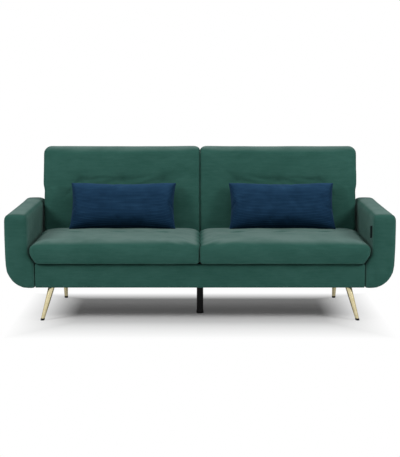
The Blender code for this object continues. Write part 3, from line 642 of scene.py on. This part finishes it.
def navy_weave():
    """A crinkled navy weave with fine ribs across it."""
    f = Finish("navy_weave", Sheen_Weight=0.18, Sheen_Roughness=0.4, Sheen_Tint=colour(150, 180, 215))
    f.shader.inputs["Specular IOR Level"].default_value = 0.0
    rib = f.told("rib")
    thread = f.grain(900, detail=1, stretch=(0.35, 1, 1))
    patches = f.grain(14, detail=2)
    # The bloom mark paints a highlight on the pillow's upward faces.
    tone = f.spread(rib * 0.45 + thread * 0.2 + patches * 0.3 + f.told("bloom") * 0.3, 0.33, 0.98)
    base = f.blend(tone, colour(18, 40, 61), colour(41, 73, 102))
    return f.surface(
        Base_Color=base,
        Roughness=f.spread(thread, 0.2, 0.8, 0.7, 0.9),
        Normal=f.relief(thread, 0.4, 0.0005),
    )


def brass():
    f = Finish("brushed_brass", Metallic=1.0)
    smudge = f.grain(55, detail=3)
    lines = f.grain(700, detail=1, stretch=(1, 1, 0.04))
    # Painted shade: the brass is darker where it turns from the camera, in place of darker reflections at the
    # legs' sides.
    edge = f.spread(f.node("LayerWeight", output="Facing", Blend=0.5), 0.10, 0.75)
    tint = f.blend(f.spread(smudge, 0.3, 0.7), colour(208, 196, 154), colour(220, 209, 172))
    base = f.blend(edge, tint, colour(148, 130, 86))
    return f.surface(
        Base_Color=base,
        Roughness=f.spread(lines + smudge, 0.6, 1.4, 0.2, 0.34),
        Normal=f.relief(lines, 0.06, 0.0004),
    )


def steel(name, dark, pale, rough):
    """Plated steel with faint streaks and blooms."""
    f = Finish(name, Metallic=1.0)
    bloom = f.grain(60, detail=4, roughness=0.6)
    streak = f.grain(420, detail=2, stretch=(1, 0.1, 1))
    return f.surface(
        Base_Color=f.blend(f.spread(bloom, 0.3, 0.7), dark, pale),
        Roughness=f.spread(streak + bloom, 0.6, 1.4, rough - 0.08, rough + 0.12),
        Normal=f.relief(streak, 0.08, 0.0003),
    )


def wood(name, dark, pale, along):
    """Planed timber with its grain along one axis."""
    f = Finish(name)
    f.shader.inputs["Specular IOR Level"].default_value = 0.3
    stretch = [14.0, 14.0, 14.0]
    stretch["XYZ".index(along)] = 1.0
    rings = f.grain(2.2, detail=4, roughness=0.6, stretch=stretch)
    fibre = f.grain(30, detail=3, roughness=0.7, stretch=stretch)
    tone = f.spread(rings * 0.65 + fibre * 0.35, 0.35, 0.65)
    return f.surface(
        Base_Color=f.blend(tone, dark, pale),
        Roughness=f.spread(fibre, 0.3, 0.7, 0.55, 0.75),
        Normal=f.relief(fibre, 0.2, 0.0006),
    )


def moulded_plastic():
    f = Finish("black_plastic")
    f.shader.inputs["Specular IOR Level"].default_value = 0.15
    grain = f.grain(700, detail=1)
    wear = f.grain(35, detail=3)
    return f.surface(
        Base_Color=f.blend(f.spread(wear, 0.4, 0.75), colour(8, 8, 9), colour(16, 16, 17)),
        Roughness=f.spread(wear + grain * 0.4, 0.5, 1.0, 0.5, 0.68),
        Normal=f.relief(grain, 0.15, 0.0004),
    )


def felt():
    """Black spun-bonded dust cloth."""
    f = Finish("dust_cloth", Sheen_Weight=0.2)
    fibres = f.grain(500, detail=4, roughness=0.8)
    return f.surface(
        Base_Color=f.blend(fibres, colour(17, 17, 19), colour(36, 36, 39)),
        Roughness=f.spread(fibres, 0.3, 0.7, 0.85, 1.0),
        Normal=f.relief(fibres, 0.5, 0.0008),
    )


def ribbon():
    """Plain dark ribbon for the seam tag."""
    f = Finish("tag_ribbon")
    f.shader.inputs["Specular IOR Level"].default_value = 0.1
    weave = f.grain(1500, detail=1, stretch=(1, 1, 0.3))
    return f.surface(
        Base_Color=f.blend(weave, colour(12, 22, 22), colour(24, 36, 36)),
        Roughness=f.spread(weave, 0.3, 0.7, 0.6, 0.8),
        Normal=f.relief(weave, 0.4, 0.0003),
    )


# ---------------------------------------------------------------- arms


def arm_outline():
    """The end view of the right arm, a little smaller than the arm where no other piece touches it."""
    inner, outer = ARM_LOW.x, ARM_HIGH.x - ARM_SKIN
    low, high = ARM_LOW.z + ARM_SKIN, ARM_HIGH.z
    return rounded(
        [
            (inner, low, ARM_TOE_ROUND),
            (outer, low, ARM_LOWER_ROUND),
            (outer, high, ARM_EDGE_ROUND),
            (ARM_WALL, high, ARM_EDGE_ROUND),
            (ARM_WALL, ARM_HEEL_TOP + ARM_HEEL_RISE, ARM_HEEL_ROUND),
            (inner, ARM_HEEL_TOP, ARM_HEEL_ROUND),
        ]
    )


def arm_form():
    """The right arm, stuffed."""
    front, rear = ARM_LOW.y + ARM_SKIN, ARM_HIGH.y - ARM_SKIN
    outline = arm_outline()

    def form(points):
        points = round_rims(points, outline, front, rear, "Y", ARM_END_ROUND, ARM_END_ROUND)
        x, y, z = points.T
        along = dome((y - front) / (rear - front), 12)
        up = dome((z - ARM_LOW.z) / (ARM_HIGH.z - ARM_LOW.z), 6)
        across = dome((x - ARM_WALL) / (ARM_HIGH.x - ARM_WALL), 2)
        out = ease(x, ARM_WALL + 0.02, ARM_HIGH.x)
        flare = ARM_FLARE * ease(z, ARM_FLARE_FROM, ARM_FLARE_TO)
        x = x + out * (along * up * ARM_CROWN * 0.3 + flare)
        z = z + ease(z, ARM_HIGH.z - 0.05, ARM_HIGH.z) * (0.5 + 0.5 * along * across) * ARM_CROWN
        y = y - ease(-y, -front - 0.04, -front) * up * ARM_CROWN * 0.4
        z = z - ARM_SAG * (1 - ease(z, ARM_LOW.z, ARM_LOW.z + 0.06))
        return np.stack([x, y, z], 1)

    arm = upholster("arm_right", prism(outline, front, rear, "Y"), form)
    points = points_of(arm)
    wall = 1 - ease(points[:, 0], ARM_WALL + 0.004, ARM_WALL + 0.03)
    sewn = np.clip(1 - arm_seam(points) / (3 * SEAM_WIDTH), 0, 1)
    swell(arm, np.maximum(sewn, wall), ARM_GIVE)
    return arm


def arm_seam(points):
    """Distance from the seams round the front and rear ends of an arm."""
    front, rear = ARM_LOW.y + ARM_SKIN, ARM_HIGH.y - ARM_SKIN
    y = points[:, 1]
    return np.minimum(np.abs(y - front - ARM_END_ROUND), np.abs(y - rear + ARM_END_ROUND))


def make_arms(material):
    right = arm_form()
    for name, arm in (("right", right), ("left", left_copy(right, "arm_left"))):
        refine(arm)
        points = points_of(arm)
        seam = arm_seam(points)
        points = sink(points, normals_of(arm), seam, SEAM_WIDTH, ARM_SEAM_DEPTH)
        move_points(arm, creased(points, normals_of(arm), length=0.05, height=0.0005, seed=len(name)))
        mark(arm, "seam", seam)
        # Painted sheen: pale arm tops, and slightly paler inner faces.
        mark_painted_sheen(arm, inward=0.22)
        finish_padded(arm, "base", material, f"arm_pad_{name}")


# ---------------------------------------------------------------- seat


def seat_rear(z):
    """Where the seat's slanted rear face lies at a height, just ahead of the upright back."""
    off = BACK_SWING + SEAT_TO_BACK
    return PIVOT.y + ((z - PIVOT.z) * math.sin(RECLINE) - off) / math.cos(RECLINE)


def seat_side(z):
    """Half the width of the seat at a height, which follows the arms' heels."""
    heel_low, heel_high = ARM_HEEL_TOP - 0.008, ARM_HEEL_TOP + ARM_HEEL_RISE + 0.008
    return ARM_LOW.x + ARM_HEEL * ease(z, heel_low, heel_high) - SEAT_PLAY


def nearest_tuft(across, along, row):
    """Distance over a cushion's face from the nearest of its tufts."""
    return np.min([np.hypot(np.abs(across) - column, along - row) for column in TUFT_COLUMNS], 0)


def seat_form():
    """The right half of the seat, stuffed."""
    front, base, edge = SEAT_LOW.y + SEAT_NOSE, SEAT_BASE, SEAT_EDGE
    inner, outer = SEAT_SPLIT, SEAT_HIGH.x
    outline = rounded(
        [
            (front, base, SEAT_HEM_ROUND),
            (front, edge, SEAT_NOSE_ROUND),
            (seat_rear(edge), edge, SEAT_REAR_ROUND),
            (seat_rear(base), base, SEAT_FOOT_ROUND),
        ]
    )

    def form(points):
        points = round_rims(points, outline, inner, outer, "X", SEAT_INNER_ROUND, SEAT_OUTER_ROUND)
        x, y, z = points.T
        in_x, below = turned_edge(outer - x, edge - z, *SEAT_SHOULDER)
        out_x, below = turned_edge(outer - in_x - inner, below, *SEAT_INNER_SHOULDER)
        x, z = out_x + inner, edge - below
        u = (x - inner) / (outer - inner)
        v = (y - front) / (seat_rear(edge) - front)
        w = (z - base) / (edge - base)
        x = x + (seat_side(z) - outer) * ease(u, 0.55, 1)
        mound = dome(u, 5) * dome(v, 2.4)
        z = z + ease(w, 0.3, 1) * SEAT_CROWN * mound
        y = y - SEAT_NOSE * dome(w, 2) * ease(-v, -0.3, 0) * (0.6 + 0.4 * dome(u, 8))
        return np.stack([x, y, z], 1)

    seat = upholster("seat_right", prism(outline, inner, outer, "X"), form)
    points = points_of(seat)
    top = ease(points[:, 2], edge - 0.04, edge - 0.01)
    tuft = nearest_tuft(points[:, 0], points[:, 1], SEAT_TUFT_Y)
    points[:, 2] -= top * SEAT_TUFT_DEPTH * dimple(tuft, SEAT_TUFT_WIDTH)
    points[:, 2] -= top * SEAT_VALLEY_DEPTH * valley(points[:, 1] - SEAT_TUFT_Y, SEAT_VALLEY_WIDTH)
    move_points(seat, points)
    bottom = 1 - ease(points[:, 2], base + 0.004, base + 0.02)
    rear = ease(points[:, 1], 0.06, 0.09)
    middle = 1 - ease(points[:, 0], inner + 0.004, inner + 0.05)
    buttons = top * (tuft < TUFT_BUTTON)
    swell(seat, np.max([bottom, rear, middle, buttons], 0), SEAT_GIVE)
    return seat


def make_seats(material):
    right = seat_form()
    for name, seat in (("right", right), ("left", left_copy(right, "seat_left"))):
        refine(seat)
        points = points_of(seat)
        points = creased(points, normals_of(seat), length=0.035, height=0.0009, seed=3 + len(name))
        points = meet_twin(points, SEAT_SPLIT)
        near_middle = 1 - ease(np.abs(points[:, 0]), 0.0, 0.05)
        points[:, 0] += SEAT_SWAY * np.sin(points[:, 1] * 2 * math.pi / SEAT_SWAY_LENGTH) * near_middle
        move_points(seat, points)
        mark(seat, "seam", np.ones(len(points)))
        tuft = nearest_tuft(points[:, 0], points[:, 1], SEAT_TUFT_Y)
        # Painted sheen on the seat's top, cut to a fifth in the tufts, which paints shade into their dips.
        outside_tufts = 0.2 + 0.8 * ease(tuft, 0.016, 0.054)
        mark_painted_sheen(seat, rounds=24, steep=0.66, sheen_share=outside_tufts)
        finish_padded(seat, "base", material, f"seat_cushion_{name}")


# ---------------------------------------------------------------- back


def back_half_width(ahead, up):
    """Half the width of a back at a place ahead of the pivot and up it, clear of the arms' heels."""
    full = ARM_WALL - BACK_SIDE_PLAY
    heel = ARM_LOW.x - BACK_SIDE_PLAY
    visible = full - BACK_WAIST * (1 - ease(up, 0.05, 0.20))
    low_front = heel + (visible - heel) * ease(up, -0.01, 0.06)
    low_rear = heel + (full - heel) * ease(up, 0.13, 0.21)
    between = low_rear + (low_front - low_rear) * ease(ahead, 0.0, 0.04)
    return between + BACK_BULGE * ease(up, BACK_CLEAR, BACK_CLEAR + 0.05)


def leaned(points):
    """From the back's own upright frame to the frame of the model."""
    cos, sin = math.cos(RECLINE), math.sin(RECLINE)
    x, back, up = points.T
    return np.stack([x, PIVOT.y + back * cos + up * sin, PIVOT.z - back * sin + up * cos], 1)


def in_back(y, z):
    """A place on the model in the back's own frame: rearward of the pivot, and up the back."""
    cos, sin = math.cos(RECLINE), math.sin(RECLINE)
    y, z = y - PIVOT.y, z - PIVOT.z
    return y * cos - z * sin, y * sin + z * cos


def hinge_slots():
    """The openings in the right back that its two fixed hinge plates stand in."""
    play, below, rear, top = 0.003, -0.2, 0.15, 0.063
    for place in ("inner", "outer"):
        pin_low, pin_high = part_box(f"hinge_pin_right_{place}")
        plate_low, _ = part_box(f"hinge_plate_right_{place}")
        foot, _ = in_back(plate_low.y, plate_low.z)
        yield box((pin_low.x - play, foot - play, below), (pin_high.x + play, rear, top))


def back_outline():
    """The side view of a back panel, with its round bottom edge swept about the pivot."""
    rear = BACK_THICK - BACK_FRONT
    start = math.asin(BACK_BELOW / BACK_SWING)
    end = math.acos(BACK_FRONT / BACK_SWING)
    sweep = [start + (end - start) * k / 8 for k in range(9)]
    nose = [(-BACK_SWING * math.cos(t), -BACK_SWING * math.sin(t), 0) for t in sweep]
    return rounded(
        [
            (rear, -BACK_BELOW, BACK_FOOT_ROUND),
            *nose,
            (-BACK_FRONT, BACK_ABOVE, BACK_TOP_FRONT_ROUND),
            (rear, BACK_ABOVE, BACK_TOP_REAR_ROUND),
        ]
    )


def back_form():
    """The right back panel, stuffed, in its own upright frame."""
    inner, outer = BACK_SPLIT, BACK_HIGH.x
    outline = back_outline()
    shape = new_piece("blank", prism(outline, inner, outer, "X"))
    for slot in hinge_slots():
        carve(shape, slot)
    blank = bmesh.new()
    blank.from_mesh(shape.data)
    bpy.data.objects.remove(shape)

    def form(points):
        points = round_rims(points, outline, inner, outer, "X", BACK_INNER_ROUND, BACK_OUTER_ROUND)
        x, back, up = points.T
        in_x, below = turned_edge(outer - x, BACK_ABOVE - up, BACK_OUTER_CORNER)
        out_x, below = turned_edge(outer - in_x - inner, below, BACK_INNER_CORNER)
        x, up = out_x + inner, BACK_ABOVE - below
        u = (x - inner) / (outer - inner)
        x = x + (back_half_width(-back, up) - outer) * ease(u, 0.6, 1)
        up = up + BACK_RISE * ease(up, BACK_ABOVE - 0.1, BACK_ABOVE)
        return np.stack([x, back, up], 1)

    back = upholster("back_right", blank, form)
    points = points_of(back)
    facing = ease(-points[:, 1], BACK_FRONT - 0.03, BACK_FRONT - 0.005)
    tuft = nearest_tuft(points[:, 0], points[:, 2], BACK_TUFT_UP)
    points[:, 1] += facing * BACK_TUFT_DEPTH * dimple(tuft, BACK_TUFT_WIDTH)
    move_points(back, points)
    bottom = 1 - ease(points[:, 2], 0.05, 0.10)
    middle = 1 - ease(points[:, 0], inner + 0.004, inner + 0.02)
    buttons = facing * (tuft < TUFT_BUTTON)
    swell(back, np.max([bottom, middle, buttons], 0), BACK_GIVE)
    return back


def make_backs(material):
    right = back_form()
    for name, back in (("right", right), ("left", left_copy(right, "back_left"))):
        refine(back)
        points = points_of(back)
        seam = np.abs(points[:, 1] - (BACK_THICK - BACK_FRONT - BACK_SEAM_IN))
        points = sink(points, normals_of(back), seam, SEAM_WIDTH, BACK_SEAM_DEPTH)
        points = creased(points, normals_of(back), length=0.04, height=0.0008, seed=7 + len(name))
        points = meet_twin(points, BACK_SPLIT)
        near_middle = 1 - ease(np.abs(points[:, 0]), 0.0, 0.03)
        parting = BACK_PARTING * ease(-points[:, 1], BACK_FRONT - 0.050, BACK_FRONT - 0.012)
        points[:, 0] += np.sign(points[:, 0]) * parting * near_middle
        move_points(back, leaned(points))
        mark(back, "seam", seam)
        # Painted sheen: pale along the backs' top edges, fading down their fronts.
        mark_painted_sheen(back, rounds=16, steep=0.50, level=0.95)
        finish_padded(back, f"back_{name}", material, f"back_cushion_{name}")


# ---------------------------------------------------------------- rail cover, tag, pillows


def make_rail_cover(material):
    """The fabric over the front rail: a folded strip, a little slack between its tacks."""
    low, high = COVER_LOW, COVER_HIGH
    mid = COVER_THICK / 2
    hem = low.z - ARM_SAG + mid
    path = rounded(
        [
            (low.y + COVER_HEM, hem, 0),
            (low.y + mid, hem, COVER_TURN),
            (low.y + mid, high.z - mid, COVER_TURN),
            (high.y, high.z - mid, 0),
        ]
    )
    lengths = np.cumsum([0] + [(b - a).length for a, b in zip(path, path[1:])])
    cover = new_grid("rail_cover", 240, 34)
    points = points_of(cover)
    along = (points[:, 1] + 0.5) * lengths[-1]
    x = points[:, 0] * 2 * (ARM_LOW.x - 0.0005)
    y = np.interp(along, lengths, [p.x for p in path])
    z = np.interp(along, lengths, [p.y for p in path])
    puff = dome((z - low.z) / (high.z - low.z), 2) * (y < low.y + 0.004)
    y = y - COVER_PUFF * puff
    move_points(cover, np.stack([x, y, z], 1))
    apply(cover, "SOLIDIFY", thickness=COVER_THICK, offset=0)
    cover.data.shade_smooth()
    mark(cover, "seam", np.ones(len(cover.data.vertices)))
    finish_padded(cover, "base", material, "front_rail_cover")


def make_tag(material):
    """A blank ribbon tag folded into the seam at the front of the right arm's inner side."""
    place = Vector((ARM_WALL + 0.001, ARM_LOW.y + TAG_IN, TAG_MIDDLE))
    tag = new_grid("seam_tag", 6, 14)
    points = points_of(tag)
    out = (points[:, 0] + 0.5) * TAG_REACH
    curl = 0.002 * np.sin(points[:, 0] * 2.4) * np.cos(points[:, 1] * 2)
    x = place.x - out * 0.8
    y = place.y - out * 0.35 + curl
    z = place.z + points[:, 1] * TAG_HEIGHT
    move_points(tag, np.stack([x, y, z], 1))
    apply(tag, "SOLIDIFY", thickness=RIBBON_THICK, offset=0)
    tag.data.shade_smooth()
    dress(tag, "base", material)


def pillow_form():
    """A loose pillow, lying in the X-Z plane: two sheets sewn together round the edge, and filled."""
    pillow = new_grid("loose_pillow_right", 84, 42)
    across, up = points_of(pillow)[:, :2].T
    move_points(pillow, np.stack([across * PILLOW_WIDTH, 0 * across, up * PILLOW_HEIGHT], 1))
    hem = 0.0015
    apply(pillow, "SOLIDIFY", thickness=2 * hem, offset=0)
    points = points_of(pillow)
    across, up = 2 * points[:, 0] / PILLOW_WIDTH, 2 * points[:, 2] / PILLOW_HEIGHT
    mark(pillow, "up", up)
    fill = np.sqrt(np.clip((1 - across**4) * (1 - up**4), 0, 1))
    points[:, 0] *= 1 - PILLOW_WAIST_ACROSS * (1 - up * up)
    points[:, 2] *= 1 - PILLOW_WAIST_UP * (1 - across * across)
    points[:, 1] = np.sign(points[:, 1]) * (hem + fill * (PILLOW_THICK / 2 - hem))
    points[:, 1] += 0.002 * fill * smooth_noise(points * (1, 0, 1), 0.04, 5)
    move_points(pillow, points)
    swell(pillow, np.zeros(len(points)), PILLOW_GIVE, pressure=3.0, frames=14)
    move_points(pillow, points_of(pillow) - (points_of(pillow).max(0) + points_of(pillow).min(0)) / 2)
    return pillow


def make_pillows(material):
    right = pillow_form()
    for name, pillow in (("right", right), ("left", left_copy(right, "loose_pillow_left"))):
        refine(pillow)
        refine(pillow)
        points = points_of(pillow)
        up = np.empty(len(points), np.float32)
        pillow.data.attributes["up"].data.foreach_get("value", up)
        run = up * PILLOW_HEIGHT / 2 + 0.0016 * smooth_noise(points * (0.15, 1, 1), 0.03, 11 + len(name))
        rib = 0.5 + 0.5 * np.sin(run * 2 * math.pi / RIB_PITCH)
        broken = 0.6 + 0.4 * smooth_noise(points * (0.25, 1, 1.5), 0.02, 17 + len(name))
        points += normals_of(pillow) * (RIB_HEIGHT * rib * broken)[:, None]
        mark(pillow, "rib", rib * broken)
        low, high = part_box(f"pillow_{name}")
        middle = (low + high) / 2
        cos, sin = math.cos(PILLOW_LEAN), math.sin(PILLOW_LEAN)
        x, back, up = points.T
        x = x + middle.x + PILLOW_SHIFT[name]
        y = middle.y + back * cos + up * sin
        z = middle.z - back * sin + up * cos
        move_points(pillow, np.stack([x, y, z], 1))
        # Painted highlight: the pillows' upward faces are painted paler.
        mark_painted_sheen(pillow, rounds=12, steep=0.35, level=0.95)
        finish_padded(pillow, f"pillow_{name}", material, f"pillow_{name}")


# ---------------------------------------------------------------- legs and dust cover


def cut_level(height, clear_above):
    """Cuts off what is being edited above or below a height, and closes the cut."""
    bpy.ops.mesh.select_all(action="SELECT")
    bpy.ops.mesh.bisect(
        plane_co=(0, 0, height), plane_no=(0, 0, 1), use_fill=True,
        clear_outer=clear_above, clear_inner=not clear_above,
    )


def raked_taper(name, foot, top, foot_radius, top_radius, low, high, edge_round):
    """A round tapered bar along the line from foot to top, cut level at two heights."""
    run = top - foot
    past = 0.15  # how much longer the bar is at each end before it is cut
    spread = (top_radius - foot_radius) * past
    bpy.ops.object.select_all(action="DESELECT")
    bpy.ops.mesh.primitive_cone_add(
        vertices=56, radius1=foot_radius - spread, radius2=top_radius + spread,
        depth=run.length * (1 + 2 * past), location=foot + run / 2,
        rotation=run.to_track_quat("Z", "Y").to_euler(),
    )
    bar = bpy.context.object
    bar.name = bar.data.name = name
    bpy.ops.object.transform_apply(location=True, rotation=True, scale=True)
    bpy.ops.object.mode_set(mode="EDIT")
    cut_level(high, clear_above=True)
    cut_level(low, clear_above=False)
    bpy.ops.mesh.select_all(action="SELECT")
    bpy.ops.mesh.normals_make_consistent(inside=False)
    bpy.ops.object.mode_set(mode="OBJECT")
    apply(bar, "BEVEL", width=edge_round, segments=3, limit_method="ANGLE", angle_limit=math.radians(40))
    select_only(bar)
    bpy.ops.object.shade_smooth_by_angle(angle=math.radians(35))
    return bar


def make_legs(metal, plastic):
    """The raked brass legs, each with a dark glide on its foot."""
    for side in SIDES:
        for end in ("front", "rear"):
            foot = FEET[f"foot_{end}_{side}"]
            low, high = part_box(f"leg_plate_{end}_{side}")
            top = Vector(((low.x + high.x) / 2, (low.y + high.y) / 2, low.z))
            leg_low, leg_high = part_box(f"leg_{end}_{side}")
            leg = raked_taper(
                f"brass_leg_{end}_{side}", foot, top,
                LEG_FOOT_RADIUS, LEG_TOP_RADIUS, leg_low.z, leg_high.z, LEG_ROUND,
            )
            glide = raked_taper(
                f"foot_glide_{end}_{side}", foot, top,
                GLIDE_RADIUS, GLIDE_RADIUS + GLIDE_SPREAD, 0.0, GLIDE_RISE, GLIDE_ROUND,
            )
            dress(leg, "base", metal)
            dress(glide, "base", plastic)
            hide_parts(f"leg_{end}_{side}")
            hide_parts(f"leg_glide_{end}_{side}")


def make_dust_cover(material):
    """The black cloth stapled under the seat base, with a little slack between the rails."""
    low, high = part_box("dust_cover")
    cover = new_grid("black_dust_cover", 160, 60)
    points = points_of(cover)
    x = low.x + (points[:, 0] + 0.5) * (high.x - low.x)
    y = low.y + (points[:, 1] + 0.5) * (high.y - low.y)
    field = ease(np.abs(x), 0.05, 0.16) * (1 - ease(np.abs(x), 0.60, 0.70))
    field = field * ease(y, low.y + 0.03, low.y + 0.12) * (1 - ease(y, high.y - 0.12, high.y - 0.04))
    ripple = DUST_CLOTH_RIPPLE * smooth_noise(np.stack([x * 0.5, y, 0 * x], 1), 0.05, 23)
    slack = field * (DUST_CLOTH_SLACK + ripple)
    move_points(cover, np.stack([x, y, (low.z + high.z) / 2 - slack], 1))
    apply(cover, "SOLIDIFY", thickness=DUST_CLOTH_THICK, offset=0)
    cover.data.shade_smooth()
    dress(cover, "base", material)
    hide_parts("dust_cover")


# ---------------------------------------------------------------- carried-over nodes


def dress_nodes(plastic):
    """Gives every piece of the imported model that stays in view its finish."""
    timber = {
        along: wood(f"timber_{along.lower()}", colour(160, 122, 82), colour(205, 170, 126), along)
        for along in "XYZ"
    }
    zinc = steel("zinc_steel", colour(140, 143, 147), colour(176, 178, 181), 0.38)
    finishes = {
        "arm_bolt": zinc,
        "hinge": zinc,
        "leg_plate": zinc,
        "centre_leg_plate": zinc,
        "seat_spring": steel("spring_steel", colour(86, 88, 92), colour(120, 122, 126), 0.42),
        "front_rail": timber["X"],
        "spring_rail": timber["X"],
        "side_rail": timber["Y"],
        "centre_beam": timber["Y"],
        "arm_frame": timber["Y"],
        "back_frame": timber["Z"],
        "rear_rail": wood("stained_timber", colour(30, 28, 27), colour(48, 45, 42), "X"),
        "centre_leg": plastic,
    }
    for name, node in frame["nodes"].items():
        stem = max((s for s in finishes if name.startswith(s)), key=len, default=None)
        if stem:
            for slot in node.material_slots:
                slot.material = finishes[stem]


# ---------------------------------------------------------------- stage, light and camera


def make_stage():
    """A white floor that shows the sofa's shadow near it and fades into the white background."""
    bpy.ops.mesh.primitive_plane_add(size=60, location=(0, 0, 0))
    floor = bpy.context.object
    floor.name = "floor"
    f = Finish("white_floor")
    here = f.node("TexCoord", output="Object")
    x, y = (f.node("SeparateXYZ", output=k, Vector=here) for k in (0, 1))
    beside = f.spread(f.math("ABSOLUTE", x), 0.64, 0.95)
    ahead = f.spread(y, -0.41, -0.74)
    behind = f.spread(y, 0.11, 0.27)
    away = f.math("MAXIMUM", beside, f.math("MAXIMUM", ahead, behind))
    seen = f.seen_by("Glossy")
    lit = f.node("BsdfDiffuse", Color=(0.9, 0.9, 0.9, 1))
    bright = f.node("BsdfDiffuse", Color=(FLOOR_GAIN, FLOOR_GAIN, FLOOR_GAIN, 1))
    white = f.node("Emission", Color=(1, 1, 1, 1), Strength=1.0)
    shown = f.mixed(away * (1 - FLOOR_GLOW) + FLOOR_GLOW, bright, white)
    out = f.tree.nodes["Material Output"]
    f.tree.links.new(f.mixed(seen, lit, shown).link, out.inputs["Surface"])
    floor.data.materials.append(f.material)


def make_world():
    """White where it is seen, and a faint even light on the sofa."""
    world = bpy.data.worlds.new("studio")
    bpy.context.scene.world = world
    world.use_nodes = True
    world.node_tree.nodes.clear()
    n = Nodes(world.node_tree)
    fill = n.node("Background", Color=(1, 1, 1, 1), Strength=FILL_LIGHT)
    white = n.node("Background", Color=(1, 1, 1, 1), Strength=1.0)
    out = n.tree.nodes.new("ShaderNodeOutputWorld")
    sky = n.mixed(n.seen_by("Glossy", "Transmission"), fill, white)
    n.tree.links.new(sky.link, out.inputs["Surface"])


def make_lamp(name, place, size, power):
    """A large soft lamp that faces the middle of the sofa."""
    data = bpy.data.lights.new(name, "AREA")
    data.shape = "RECTANGLE"
    data.size, data.size_y = size
    data.energy = power
    lamp = bpy.data.objects.new(name, data)
    bpy.context.scene.collection.objects.link(lamp)
    lamp.location = place
    lamp.rotation_euler = (Vector((0, 0, 0.4)) - lamp.location).to_track_quat("-Z", "Y").to_euler()
    return lamp


def make_camera():
    data = bpy.data.cameras.new("camera")
    data.lens = CAMERA_LENS
    data.sensor_width = 36.0
    camera = bpy.data.objects.new("camera", data)
    bpy.context.scene.collection.objects.link(camera)
    camera.location = (0, ARM_LOW.y - CAMERA_AHEAD, CAMERA_HEIGHT)
    camera.rotation_euler = (math.pi / 2 - CAMERA_DIP, 0, 0)
    data.clip_end = 200
    bpy.context.scene.camera = camera


make_camera()
make_stage()
make_world()
make_lamp("overhead", place=(0, -0.35, 3.4), size=(3.6, 2.0), power=53)
make_lamp("left", place=(-2.9, -1.5, 2.3), size=(1.0, 1.0), power=62)
make_lamp("right", place=(2.9, -1.5, 2.3), size=(1.0, 1.0), power=64)
make_lamp("rear", place=(0, 3.4, 3.0), size=(4.0, 1.5), power=48)
wash = make_lamp("floor_wash", place=(0, -2.3, 2.0), size=(3.6, 1.4), power=17)
wash.rotation_euler = (0, 0, 0)  # straight down
wash.data.spread = math.radians(100)
bpy.context.scene.view_settings.view_transform = "Standard"

VELVET = velvet()
NAVY = navy_weave()
PLASTIC = moulded_plastic()
dress_nodes(PLASTIC)
make_arms(VELVET)
make_seats(VELVET)
make_backs(VELVET)
make_pillows(NAVY)
make_rail_cover(VELVET)
make_tag(ribbon())
make_legs(brass(), PLASTIC)
make_dust_cover(felt())
